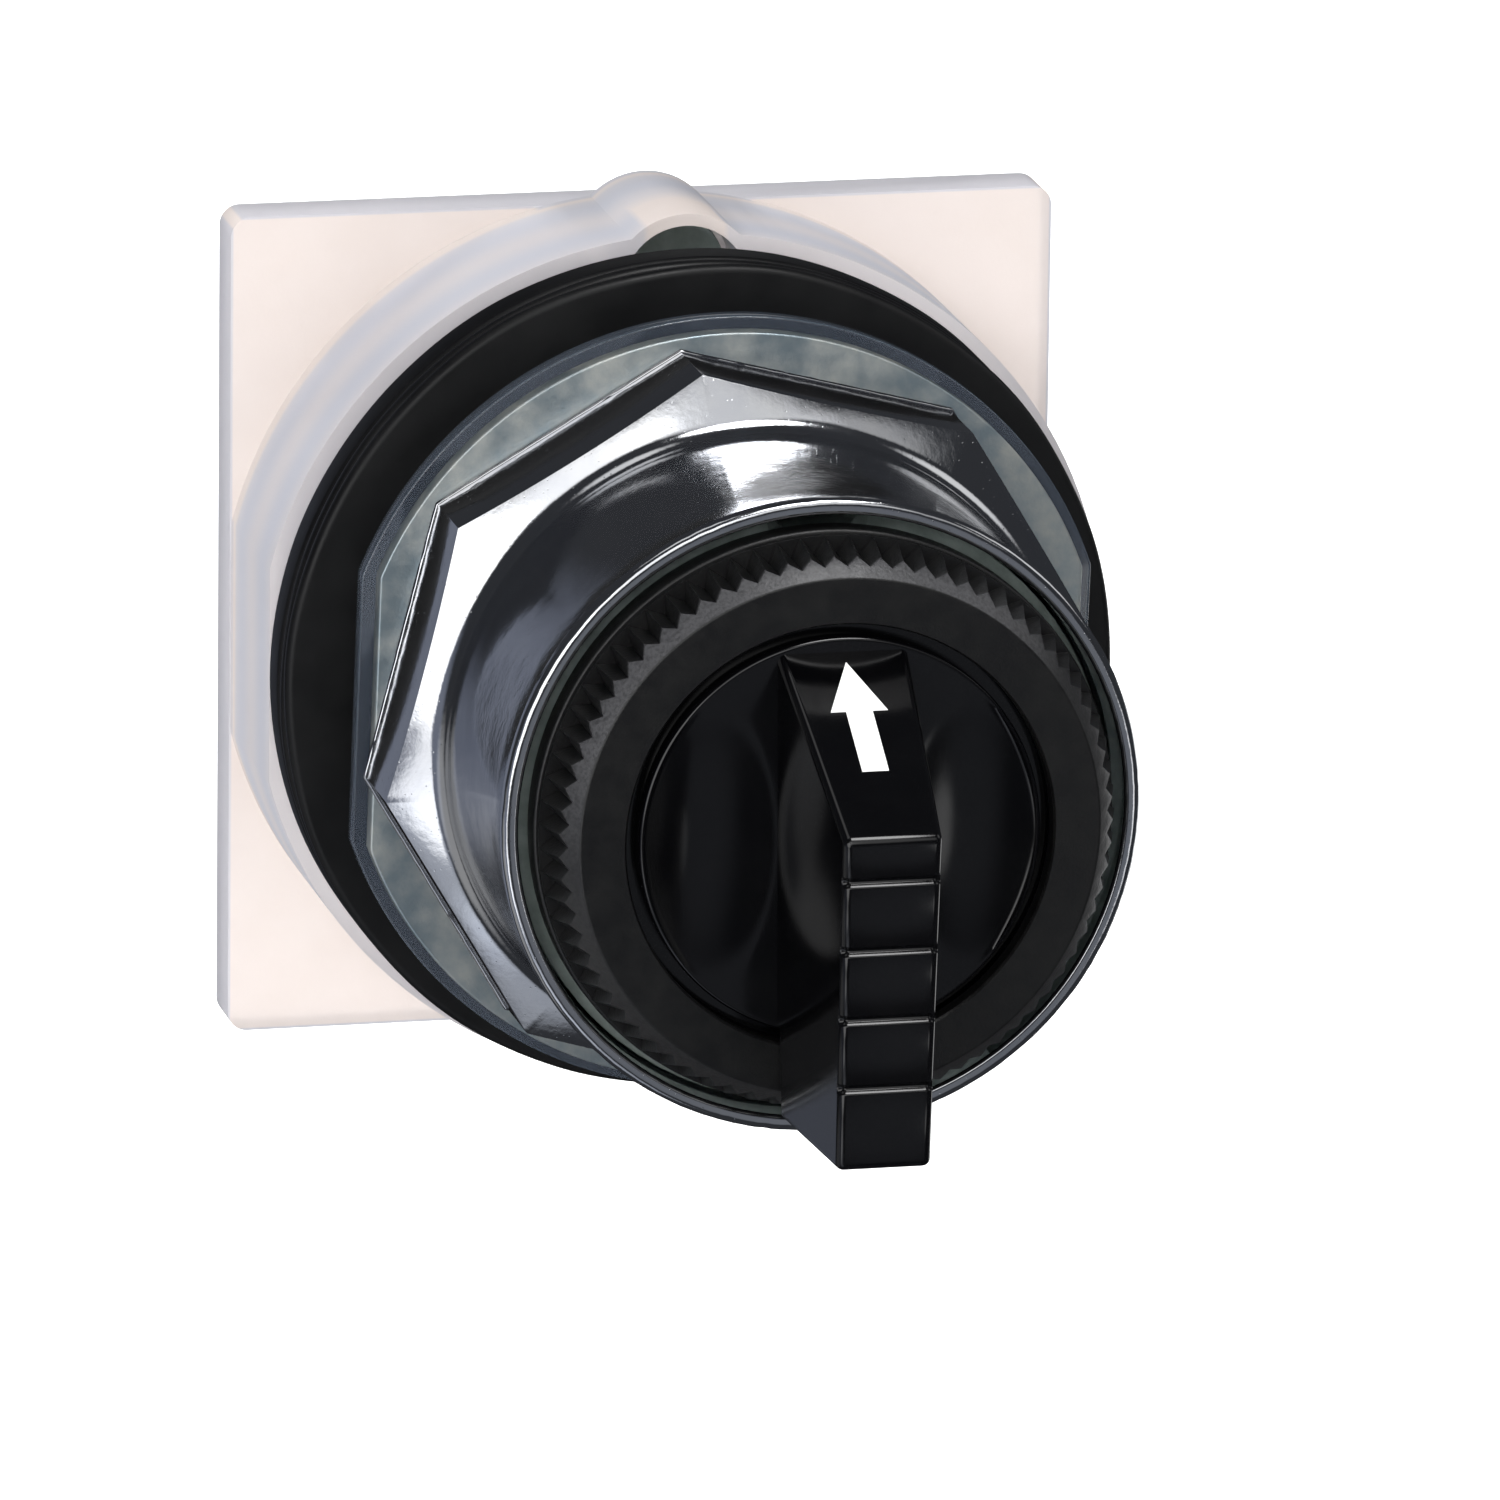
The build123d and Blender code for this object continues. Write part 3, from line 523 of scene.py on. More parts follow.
def round_off(bm: Shape, edges: list[Edge], width: float, segments: int) -> None:
    """Round the given edges.

    Args:
        bm: the shape.
        edges: what to round.
        width: bevel width in millimetres.
        segments: bevel segments.
    """
    bmesh.ops.bevel(
        bm, geom=edges, affect="EDGES", offset=width, segments=segments, profile=0.5, material=-1,
        clamp_overlap=True,
    )


def soften(bm: Shape, width: float, segments: int = 2) -> None:
    """Round every edge that folds sharper than SOFTEN_ANGLE degrees, width in millimetres."""
    round_off(bm, folds(bm, SOFTEN_ANGLE), width, segments)


def slice_at(bm: Shape, place: Triple, normal: Triple) -> None:
    """Cut new edges into a shape along a plane, keeping both sides."""
    bmesh.ops.bisect_plane(
        bm, geom=bm.verts[:] + bm.edges[:] + bm.faces[:], dist=CUT_TOLERANCE, plane_co=place,
        plane_no=normal,
    )


def thickened(outline: Sequence[Triple], along: Triple) -> Shape:
    """Draw one face and extrude it.

    Args:
        outline: its corners.
        along: how far and which way it grows.

    Returns:
        The closed shape, not yet tidied.
    """
    bm = bmesh.new()
    face = bm.faces.new([bm.verts.new(corner) for corner in outline])
    grown = bmesh.ops.extrude_face_region(bm, geom=[face])["geom"]
    moved = [v for v in grown if isinstance(v, Corner)]
    bmesh.ops.translate(bm, vec=along, verts=moved)
    return bm


def roughen(v: Corner, size: float) -> None:
    """Pull a corner in by up to ROUGH_SHARE of its reach, as cast edges vary."""
    v.co.xy *= 1 - ROUGH_SHARE * abs(noise.noise(v.co * size))


def cut_flat(bm: Shape, distance: float, angle: float) -> None:
    """Cut a shape off at a plane along the axis and close the cut.

    Args:
        bm: the shape.
        distance: the plane's distance from the axis.
        angle: direction of the plane's outward normal, in degrees from X.
    """
    normal = Vector((cos(radians(angle)), sin(radians(angle)), 0))
    cut = bmesh.ops.bisect_plane(
        bm,
        geom=bm.verts[:] + bm.edges[:] + bm.faces[:],
        dist=CUT_TOLERANCE,
        plane_co=normal * distance,
        plane_no=normal,
        clear_outer=True,
    )
    rim = [e for e in cut["geom_cut"] if isinstance(e, Edge)]
    bmesh.ops.contextual_create(bm, geom=rim)


def join(target: Shape, extra: Shape) -> None:
    """Add another shape's shells to a shape and free it."""
    holder = bpy.data.meshes.new("holder")
    extra.to_mesh(holder)
    target.from_mesh(holder)
    bpy.data.meshes.remove(holder)
    extra.free()


def bench_matrix(back: float) -> Matrix:
    """Matrix from a bench drawing in millimetres, axis up, to the row frame."""
    return Matrix.Translation((0, back, 0)) @ Matrix.Rotation(pi / 2, 4, "X") @ Matrix.Scale(MM, 4)


def finish_piece(
    bm: Shape,
    name: str,
    slot: Slot,
    body: Optional[Body],
    nodes: Iterable[str],
    back: Optional[float] = None,
    finish: Optional[Finish] = None,
    flats: Sequence[Triple] = (),
) -> bpy.types.Object:
    """Place a shape in the row frame and make it a dressed piece.

    Args:
        bm: the shape; a bench drawing if back is given, else already in the row frame.
        name: the piece's name.
        slot: material slot, which also picks the finish.
        body: the body it rides on, or None for a piece that spans two.
        nodes: CAD nodes it stands for.
        back: where the drawing's zero lies along the switch axis, in metres.
        finish: a finish other than the slot's own.
        flats: directions whose faces are shaded flat.

    Returns:
        The new object.
    """
    if back is not None:
        bmesh.ops.transform(bm, matrix=bench_matrix(back), verts=bm.verts)
    bm.normal_update()
    for face in bm.faces:
        face.smooth = not any(face.normal.dot(Vector(way)) > FLAT_COS for way in flats)
    for edge in bm.edges:
        if len(edge.link_faces) == 2 and edge.calc_face_angle() > SMOOTH_ANGLE:
            edge.smooth = False
    mesh = bpy.data.meshes.new(name)
    bm.to_mesh(mesh)
    bm.free()
    mesh.materials.append((finish or FINISHES[slot]).material())
    made = bpy.data.objects.new(name, mesh)
    bpy.context.scene.collection.objects.link(made)
    if body is not None:
        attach(made, body.value)
    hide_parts(*nodes)
    log.info("%s: %d faces on %s", name, len(mesh.polygons), body.value if body else "two bodies")
    return made


def merged_copy(node: str) -> Shape:
    """Copy a CAD node's mesh in millimetres, merged and with its flat faces whole."""
    bm = bmesh.new()
    bm.from_mesh(frame["nodes"][node].data)
    bmesh.ops.scale(bm, vec=(1 / MM,) * 3, verts=bm.verts)
    bmesh.ops.remove_doubles(bm, verts=bm.verts, dist=MERGE_MM)
    bmesh.ops.dissolve_limit(bm, angle_limit=radians(0.5), verts=bm.verts, edges=bm.edges)
    return bm


def softened_copy(node: str, width: float, slot: Slot, body: Body) -> bpy.types.Object:
    """Copy a CAD node's mesh and round its edges.

    Args:
        node: the CAD node.
        width: bevel width in millimetres.
        slot: material slot.
        body: the body it rides on.

    Returns:
        The piece that stands for the node.
    """
    bm = merged_copy(node)
    soften(bm, width)
    bmesh.ops.scale(bm, vec=(MM,) * 3, verts=bm.verts)
    return finish_piece(bm, f"{node}_moulded", slot, body, [node], flats=((0, 1, 0), (0, -1, 0)))


# ---------------------------------------------------------------- sub-assemblies


@dataclass
class RearBase:
    """The square nylon base with its drum, and the guide and screws in it."""

    base_edge: float = 0.12
    guide_edge: float = 0.15
    screw_edge: float = 0.1

    def build(self) -> None:
        """Make the base and the small rear pieces with rounded edges."""
        base = softened_copy("mounting_base", self.base_edge, Slot.NYLON, Body.HOUSING)
        base.visible_glossy = False
        softened_copy("plunger_guide", self.guide_edge, Slot.MOULDING, Body.HOUSING)
        softened_copy("base_screws", self.screw_edge, Slot.STEEL, Body.HOUSING)


@dataclass
class CastBody:
    """The die-cast body: hub, flange, lugs and the threaded barrel."""

    barrel_r: float = 14.75
    core_r: float = 13.95
    bore_r: float = 10.0
    mouth_r: float = 11.93
    pitch: float = 1.5
    hub_r: float = 15.0
    flange_r: float = 18.0
    lug_r: float = 2.9
    lug_place: float = 18.8
    tap_r: float = 1.45
    tap_depth: float = 5.3
    key_half: float = 1.6
    key_floor: float = 13.6
    hub: float = 1.6  # heights above the body's rear, from here down
    rib: float = 5.4
    flange: float = 6.1
    panel: float = 9.7
    mouth_depth: float = 8.6
    thread_steps: int = 72

    def thread(self, low: float, high: float) -> Shape:
        """Make the thread's ridge as one helix of a V section.

        Args:
            low: where the thread starts.
            high: where it ends.

        Returns:
            The closed ridge.
        """
        bm = bmesh.new()
        root, half, crest = self.core_r - 0.15, self.pitch * 0.46, self.pitch * 0.07
        section = [(root, -half), (self.barrel_r, -crest), (self.barrel_r, crest), (root, half)]
        corners = [bm.verts.new((r, 0, low + half + z)) for r, z in section]
        face = bm.faces.new(corners)
        rise = high - low - 2 * half
        turns = rise / self.pitch
        steps = int(turns * self.thread_steps)
        bmesh.ops.spin(
            bm,
            geom=[face, *face.verts, *face.edges],
            axis=(0, 0, 1),
            cent=(0, 0, 0),
            dvec=(0, 0, rise / steps),
            angle=2 * pi * turns,
            steps=steps,
        )
        return tidy(bm)

    def build(self) -> None:
        """Make the body as one piece."""
        node = "bushing_body"
        front = length_of(node)
        bore_top, step_r = front - self.mouth_depth, self.flange_r - 0.8
        profile = [
            (self.bore_r, self.hub, 0),
            (self.hub_r, self.hub, 0.2),
            (self.hub_r, self.rib, 0),
            (step_r, self.rib, 0.15),
            (step_r, self.flange, 0),
            (self.flange_r, self.flange, 0.2),
            (self.flange_r, self.panel, 0.15),
            (self.core_r, self.panel, 0),
            (self.core_r, front - 0.5, 0),
            (self.core_r - 0.5, front, 0),
            (self.mouth_r, front, 0.15),
            (self.mouth_r, bore_top, 0),
            (self.bore_r, bore_top, 0),
        ]
        body = turned(profile, 240)
        ridge = self.thread(self.panel + 0.1, front - 0.15)
        for part, floor in ((body, self.key_floor), (ridge, self.key_floor - 0.2)):
            for v in part.verts:
                in_key = abs(v.co.x) < self.key_half and v.co.z > self.panel + 0.2
                if in_key and v.co.y > floor:
                    v.co.y = floor
        join(body, ridge)
        section = [
            (self.tap_r, 0, 0.1),
            (self.lug_r, 0, 0.25),
            (self.lug_r, self.flange, 0.35),
            (0, self.flange, 0),
            (0, self.tap_depth, 0),
            (self.tap_r, self.tap_depth, 0),
        ]
        for side in (-1, 1):
            lug = turned(section, 48)
            bmesh.ops.translate(lug, vec=(0, side * self.lug_place, 0), verts=lug.verts)
            join(body, lug)
        finish_piece(body, "cast_body", Slot.ZINC_CAST, Body.HOUSING, [node], back_of(node))


@dataclass
class PanelSeals:
    """The sealing gasket and the two rubber spacers behind the panel."""

    radius: float = 21.06
    bore: float = 14.95
    edge: float = 0.42
    waviness: float = 0.1
    wave_size: float = 3.1  # noise cells round the rim, per unit of direction
    gap: float = 0.03
    rim: float = 1.6

    def ring(self, node: str, seed: float) -> None:
        """Make one rubber ring, a little wavy round its rim.

        Args:
            node: its CAD node.
            seed: where in the noise its waviness is read.
        """
        low, high = self.gap, length_of(node) - self.gap
        edge = min(self.edge, length_of(node) * 0.4)
        outer = self.radius - self.waviness
        profile = [
            (self.bore, low, 0),
            (outer - self.rim, low, 0),
            (outer, low, edge),
            (outer, high, edge),
            (outer - self.rim, high, 0),
            (self.bore, high, 0),
        ]
        bm = turned(profile, 240)
        for v in bm.verts:
            reach = reach_of(v)
            if reach > outer - 1.0:
                way = Vector((v.co.x, v.co.y, 0)) / reach
                wave = noise.noise(way * self.wave_size + Vector((0, 0, seed)))
                v.co += way * (wave * self.waviness)
        finish_piece(bm, f"{node}_ring", Slot.RUBBER, Body.HOUSING, [node], back_of(node))

    def build(self) -> None:
        """Make the three rings."""
        self.ring("sealing_gasket", 0.0)
        self.ring("spacer_gasket_rear", 4.0)
        self.ring("spacer_gasket_front", 9.0)


@dataclass
class PanelWashers:
    """The clear and the plated washer in front of the panel."""

    bore: float = 14.85
    turn: float = -1.75

    def washer(
        self, node: str, name: str, slot: Slot, radius: float, flat: float, edge: float
    ) -> None:
        """Make one washer with a flat on each side.

        Args:
            node: its CAD node.
            name: the piece's name.
            slot: its material slot.
            radius: outer radius.
            flat: half the width across its flats.
            edge: rounding of its edges.
        """
        thick = length_of(node)
        corners = ((self.bore, 0), (radius, 0), (radius, thick), (self.bore, thick))
        bm = turned([(r, z, 0) for r, z in corners], 240)
        for side in (0, 180):
            cut_flat(bm, flat, side)
        tidy(bm)
        soften(bm, edge, 3)
        turn = Matrix.Rotation(radians(self.turn), 3, "Z")
        bmesh.ops.rotate(bm, verts=bm.verts, cent=(0, 0, 0), matrix=turn)
        made = finish_piece(bm, name, slot, Body.WASHERS, [node], back_of(node))
        made.visible_glossy = False

    def build(self) -> None:
        """Make both washers."""
        self.washer("clear_washer", "clear_ring", Slot.CLEAR, radius=19.6, flat=18.4, edge=0.14)
        self.washer("trim_washer", "plated_ring", Slot.ZINC_PLATE, radius=19, flat=17.7, edge=0.12)


@dataclass
class RingNut:
    """The octagonal chrome nut with its flared collar."""

    corner_r: float = 18.35
    corner_angle: float = 8.06
    octagon: float = 5.3
    cone_tilt: float = 26.0
    flare_r: float = 1.3
    collar_r: float = 15.5
    waist_r: float = 15.35
    rim_r: float = 15.75
    bore_r: float = 14.95
    land_r: float = 14.8
    over: float = 0.25
    flare_steps: int = 12
    foot: float = 0.26
    foot_reach: float = 0.14
    foot_edge: float = 0.11
    edge: float = 0.16
    steps: int = 256

    def cone_height(self, radius: float) -> float:
        """Height of the cone between the octagon's corners and the collar."""
        return self.octagon - 0.35 + (self.corner_r - radius) * tan(radians(self.cone_tilt))

    def profile(self, length: float) -> Profile:
        """Half section of the nut before its flats are cut."""
        slope = radians(self.cone_tilt)
        start = self.collar_r + self.flare_r
        centre = self.cone_height(start - self.flare_r * sin(slope)) + self.flare_r * cos(slope)
        wide = self.corner_r + self.over
        section = [
            (self.bore_r, 0, 0),
            (self.corner_r - 0.4, 0, 0),
            (wide, 0.4, 0),
            (wide, self.cone_height(wide), 0),
        ]
        for step in range(self.flare_steps + 1):
            tilt = slope + (pi / 2 - slope) * step / self.flare_steps
            section.append((start - self.flare_r * sin(tilt), centre - self.flare_r * cos(tilt), 0))
        middle = (centre + length) / 2
        section += [
            (self.waist_r + 0.03, (centre + middle) / 2, 0),
            (self.waist_r, middle, 0),
            (self.waist_r + 0.06, (middle + length) / 2, 0),
            (self.rim_r - 0.26, length - 1.0, 0.2),
            (self.rim_r, length - 0.72, 0.1),
            (self.rim_r, length, 0.36),
            (self.bore_r, length, 0.22),
            (self.bore_r, self.octagon, 0),
            (self.land_r, self.octagon - 0.2, 0),
            (self.land_r, 1.2, 0),
        ]
        return section

    def cut_flats(self, bm: Shape, extra: float = 0.0) -> None:
        """Cut the eight flats, this much further out than the octagon."""
        distance = self.corner_r * cos(pi / 8) + extra
        for side in range(8):
            cut_flat(bm, distance, self.corner_angle + 22.5 + 45 * side)
        tidy(bm)

    def foot_rim(self) -> Shape:
        """Make the thin rim round the rear edge of the flats, left by the press."""
        wide = self.corner_r + self.foot_reach
        inner = self.corner_r * cos(pi / 8) - 0.5
        corners = ((inner, 0), (wide, 0), (wide, self.foot), (inner, self.foot))
        bm = turned([(r, z, 0) for r, z in corners], self.steps)
        self.cut_flats(bm, self.foot_reach)
        soften(bm, self.foot_edge, 3)
        for v in bm.verts:
            if reach_of(v) > inner + 0.2:
                roughen(v, 2.3)
        return bm

    def build(self) -> None:
        """Turn the nut, cut its eight flats and break its edges."""
        node = "ring_nut"
        length = length_of(node)
        bm = turned(self.profile(length), self.steps)
        self.cut_flats(bm)
        beyond = self.rim_r + 0.6
        edges = [e for e in folds(bm, 20) if min(map(reach_of, e.verts)) > beyond]
        round_off(bm, edges, self.edge, 3)
        for v in bm.verts:
            if v.co.z > length - 0.66 and reach_of(v) > self.rim_r - 0.4:
                roughen(v, 1.7)
        join(bm, self.foot_rim())
        finish_piece(bm, "chrome_nut", Slot.CHROME, Body.NUT, [node], back_of(node))


@dataclass
class FrontSleeve:
    """The black sleeve in the barrel's mouth and the serrated ring screwed on it."""

    ring_r: float = 14.15
    land_r: float = 13.62
    land_drop: float = 1.9
    root_r: float = 13.25
    face_r: float = 12.77
    lip_r: float = 10.5
    nose_r: float = 12.23
    lip: float = 1.0
    band: float = 0.5
    teeth: int = 75
    tooth_edge: float = 0.05
    stem_r: float = 6.0  # the sleeve's radii, from the stem's passage out
    neck_r: float = 5.0
    well_r: float = 6.3
    lip_bore_r: float = 11.5
    plug_r: float = 11.9
    spigot_r: float = 12.2
    rim_r: float = 14.3
    rim_low: float = 8.6  # and its heights
    rim_high: float = 10.0
    floor: float = 11.0
    top: float = 12.4
    neck_low: float = 6.4
    neck_high: float = 9.4

    def sleeve(self) -> None:
        """Turn the flanged sleeve."""
        node = "front_sleeve"
        profile = [
            (self.stem_r, 0, 0),
            (self.plug_r, 0, 0.2),
            (self.plug_r, self.rim_low, 0),
            (self.rim_r, self.rim_low, 0.1),
            (self.rim_r, self.rim_high, 0.18),
            (self.spigot_r, self.rim_high, 0),
            (self.spigot_r, self.top, 0.15),
            (self.lip_bore_r, self.top, 0.15),
            (self.lip_bore_r, self.floor, 0),
            (self.well_r, self.floor, 0),
            (self.well_r, self.neck_high, 0),
            (self.neck_r, self.neck_high, 0),
            (self.neck_r, self.neck_low, 0),
            (self.stem_r, self.neck_low, 0),
        ]
        bm = turned(profile)
        finish_piece(bm, "flanged_sleeve", Slot.MOULDING, Body.HOUSING, [node], back_of(node))

    def serrated_ring(self) -> None:
        """Turn the retaining ring and press every other column in as a tooth's valley."""
        node = "knob_retaining_ring"
        front = length_of(node)
        meet = front - (self.root_r - self.face_r)
        crest = front - (self.land_r - self.face_r)
        profile = [
            (self.nose_r, 0, 0),
            (self.ring_r, 0, 0),
            (self.ring_r, self.band, 0),
            (self.ring_r, self.band + 0.02, 0),
            (self.ring_r, crest - self.land_drop, 0),
            (self.land_r, crest, 0),
            (self.root_r, meet, 0),
            (self.face_r, front, 0.08),
            (self.lip_r + 0.1, front, 0),
            (self.lip_r, front - 0.12, 0),
            (self.lip_r, front - self.lip, 0),
            (self.nose_r, front - self.lip, 0),
        ]
        bm = turned(profile, 2 * self.teeth)
        for v in bm.verts:
            reach = reach_of(v)
            column = round(degrees(atan2(v.co.y, v.co.x)) * self.teeth / 180)
            if column % 2 and reach > self.root_r + 0.05 and v.co.z > self.band + 0.01:
                v.co.xy *= self.root_r / reach
                if v.co.z > crest - 0.01:
                    v.co.z = meet
        tidy(bm)
        crests = [
            e
            for e in folds(bm, 28)
            if max(map(reach_of, e.verts)) > self.land_r - 0.02
            and min(v.co.z for v in e.verts) > self.band - 0.01
        ]
        round_off(bm, crests, self.tooth_edge, 1)
        # The ring's slope carries a painted grey sheen.
        finish_piece(
            bm, "serrated_ring", Slot.MOULDING, Body.HOUSING, [node], back_of(node), PAINTED_SHEEN_MOULDING
        )

    def build(self) -> None:
        """Make the sleeve and the ring."""
        self.sleeve()
        self.serrated_ring()


@dataclass
class SelectorKnob:
    """The glossy knob: a scooped disc, the pointer lever and its white arrow."""

    disc_r: float = 9.87
    disc_front: float = 3.9
    flange_r: float = 11.2
    hub_r: float = 6.0
    hub: float = 1.6
    scoop_x: float = 6.5
    scoop_depth: float = 0.55
    scoop_half_width: float = 3.2
    scoop_half_length: float = 6.4
    height: float = 11.0
    top_edge: float = 9.15
    crest: float = 2.8
    tail: float = 13.75
    tail_drop: float = 1.1
    half_width: float = 3.1
    draft: float = 0.068
    taper: float = 0.0105
    round_r: float = 0.42
    grooves: int = 4
    groove_first: float = 0.7
    groove_pitch: float = 3.45
    groove_half: float = 0.3
    groove_depth: float = 0.24
    groove_cuts: int = 5  # cuts on each side of a groove's middle
    groove_drops: tuple[float, ...] = (0.28, 0.36, 0.44)  # rows down the side, where it fades
    groove_end: float = 0.43
    groove_fade: float = 0.15
    scoop_blend: float = 0.05
    arrow_half: tuple[float, float] = (1.4, 0.65)  # half widths of the head and the shaft
    arrow_tip: float = 0.7
    arrow_head: float = 3.35
    arrow_shaft: float = 4.05
    arrow_sunk: float = 0.3
    arrow_proud: float = 0.012

    def scoop_height(self, x: float, y: float) -> float:
        """Height of the scoops' floor over a place on the disc, past the rim if outside."""
        depth = self.scoop_depth
        across = (self.scoop_half_width**2 + depth**2) / (2 * depth)
        along = (self.scoop_half_length**2 + depth**2) / (2 * depth)
        offset = abs(x) - self.scoop_x
        ring = along - across + sqrt(max(0.0, across**2 - offset**2))
        return self.disc_front - depth + along - sqrt(max(0.0, ring**2 - y**2))

    def disc(self) -> Shape:
        """Turn the disc with its flange and hub, then press in the scoops."""
        rim = self.disc_r - 0.3
        profile = [
            (0, 0, 0),
            (self.hub_r, 0, 0.1),
            (self.hub_r, self.hub, 0),
            (self.flange_r, self.hub, 0.1),
            (self.flange_r, self.hub + 1.1, 0.1),
            (self.disc_r, self.hub + 1.1, 0),
            (self.disc_r, self.disc_front, 0.2),
            (rim, self.disc_front, 0),
            (0, self.disc_front, 0),
        ]
        face_edge = len(profile) - 2  # the edge from the rim to the centre
        bm = turned(profile, 200, {face_edge: 44})
        far = 12  # past this many blend widths the blend is nothing
        for v in bm.verts:
            if v.co.z > self.disc_front - 0.01 and reach_of(v) < rim + 0.01:
                floor = self.scoop_height(v.co.x, v.co.y)
                above = (floor - self.disc_front) / self.scoop_blend
                if above < far:
                    v.co.z -= self.scoop_blend * (-above if above < -far else log1p(exp(-above)))
        return bm

    def crest_height(self, y: float) -> float:
        """Height of the lever's back at a place along it."""
        fall = self.tail_drop / (self.tail + self.crest)
        return self.disc_front + self.height - fall * (self.crest - y)

    def lever(self) -> Shape:
        """Draw the lever's side, extrude it, taper it, round its edges and groove its back."""
        under, inner = self.disc_front + 0.4, self.disc_r - 0.6
        foot = self.disc_front - 0.75
        side = [
            (self.top_edge, self.disc_front),
            (self.crest, self.crest_height(self.crest)),
            (-self.tail, self.crest_height(-self.tail)),
            (-self.tail, under),
            (-inner, under),
            (-inner, foot),
            (self.top_edge, foot),
        ]
        bm = thickened([(-1, y, z) for y, z in side], (2, 0, 0))
        for v in bm.verts:
            half = self.half_width - self.draft * (v.co.z - self.disc_front)
            v.co.x *= half + self.taper * v.co.y
        tidy(bm)
        outer = [
            e
            for e in bm.edges
            if sum(v.co.z for v in e.verts) / 2 > self.disc_front + 2.0
            or min(v.co.y for v in e.verts) < -self.tail + 0.01
        ]
        round_off(bm, outer, self.round_r, 5)
        self.press_grooves(bm)
        return bm

    def press_grooves(self, bm: Shape) -> None:
        """Press the cross grooves into the lever's back, fading out down its sides."""
        cuts = self.groove_cuts
        places = [self.groove_first - k * self.groove_pitch for k in range(self.grooves)]
        for place in places:
            for step in range(-cuts, cuts + 1):
                slice_at(bm, (0, place + step / cuts * self.groove_half, 0), (0, 1, 0))
        back_slope = (0, -self.tail_drop / (self.tail + self.crest), 1)
        for drop in self.groove_drops:
            slice_at(bm, (0, 0, self.crest_height(0) - drop), back_slope)
        bm.normal_update()
        for v in bm.verts:
            below = self.crest_height(v.co.y) - v.co.z
            fade = min(1.0, max(0.0, (self.groove_end - below) / self.groove_fade))
            for place in places:
                share = (v.co.y - place) / self.groove_half
                if abs(share) < 1 and fade > 0:
                    v.co -= v.normal * (self.groove_depth * fade * cos(share * pi / 2) ** 2)

    def arrow(self) -> None:
        """Make the white arrow let into the lever's sloped face."""
        head, shaft = self.arrow_half
        neck = self.arrow_tip + self.arrow_head
        end = neck + self.arrow_shaft
        right = [(0, -self.arrow_tip), (head, -neck), (shaft, -neck), (shaft, -end)]
        outline = right + [(-x, y) for x, y in reversed(right[1:])]
        bm = thickened(
            [(x, y, -self.arrow_sunk) for x, y in outline],
            (0, 0, self.arrow_sunk + self.arrow_proud),
        )
        tidy(bm)
        run = self.top_edge - self.crest
        length = hypot(run, self.height)
        normal = Vector((0, self.height / length, run / length))
        across = Vector((1, 0, 0))
        turn = Matrix((across, normal.cross(across), normal)).transposed().to_4x4()
        lift = Matrix.Translation((0, self.top_edge, self.disc_front))
        bmesh.ops.transform(bm, matrix=lift @ turn, verts=bm.verts)
        back = back_of("selector_knob")
        finish_piece(bm, "white_arrow", Slot.PRINT, Body.SELECTOR, ["arrow_inlay"], back)

    def build(self) -> None:
        """Make the knob and its arrow."""
        node = "selector_knob"
        knob = self.disc()
        join(knob, self.lever())
        finish_piece(
            knob, "pointer_knob", Slot.GLOSS, Body.SELECTOR, [node], back_of(node),
            flats=((1, 0, 0), (-1, 0, 0)),
        )
        self.arrow()


@dataclass
class ReturnSprings:
    """The plungers' two return springs, copied from their coils."""

    def spring(self, node: str, name: str) -> None:
        """Copy one coil, which lies between the guide and its plunger, as a piece on no body.

        Args:
            node: the CAD node of the coil.
            name: the piece's name.
        """
        bm = merged_copy(node)
        bmesh.ops.scale(bm, vec=(MM,) * 3, verts=bm.verts)
        made = finish_piece(bm, name, Slot.SPRING, None, [node])
        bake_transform(made)

    def build(self) -> None:
        """Make both springs."""
        self.spring("return_spring_left", "left_coil")
        self.spring("return_spring_right", "right_coil")


@dataclass
class InnerWorks:
    """Every CAD node that stays as it is, dressed from its slot."""

    def build(self) -> None:
        """Give each remaining node its finish."""
        slots = {part["node"]: Slot(part["material_slot"]) for part in frame["record"]["subparts"]}
        for name, node in frame["nodes"].items():
            if node.hide_render:
                continue
            material = FINISHES[slots[name]].material()
            if not node.material_slots:
                node.data.materials.append(material)
            for place in node.material_slots:
                place.material = material
            log.info("%s keeps its shape, in %s", name, material.name)


# ---------------------------------------------------------------- studio


@dataclass(frozen=True)
class Panel:
    """A soft light panel as the glossy pieces see it."""

    towards: tuple[float, float, float]
    inner: float
    outer: float
    strength: float
    tint: str = "FFFFFF"


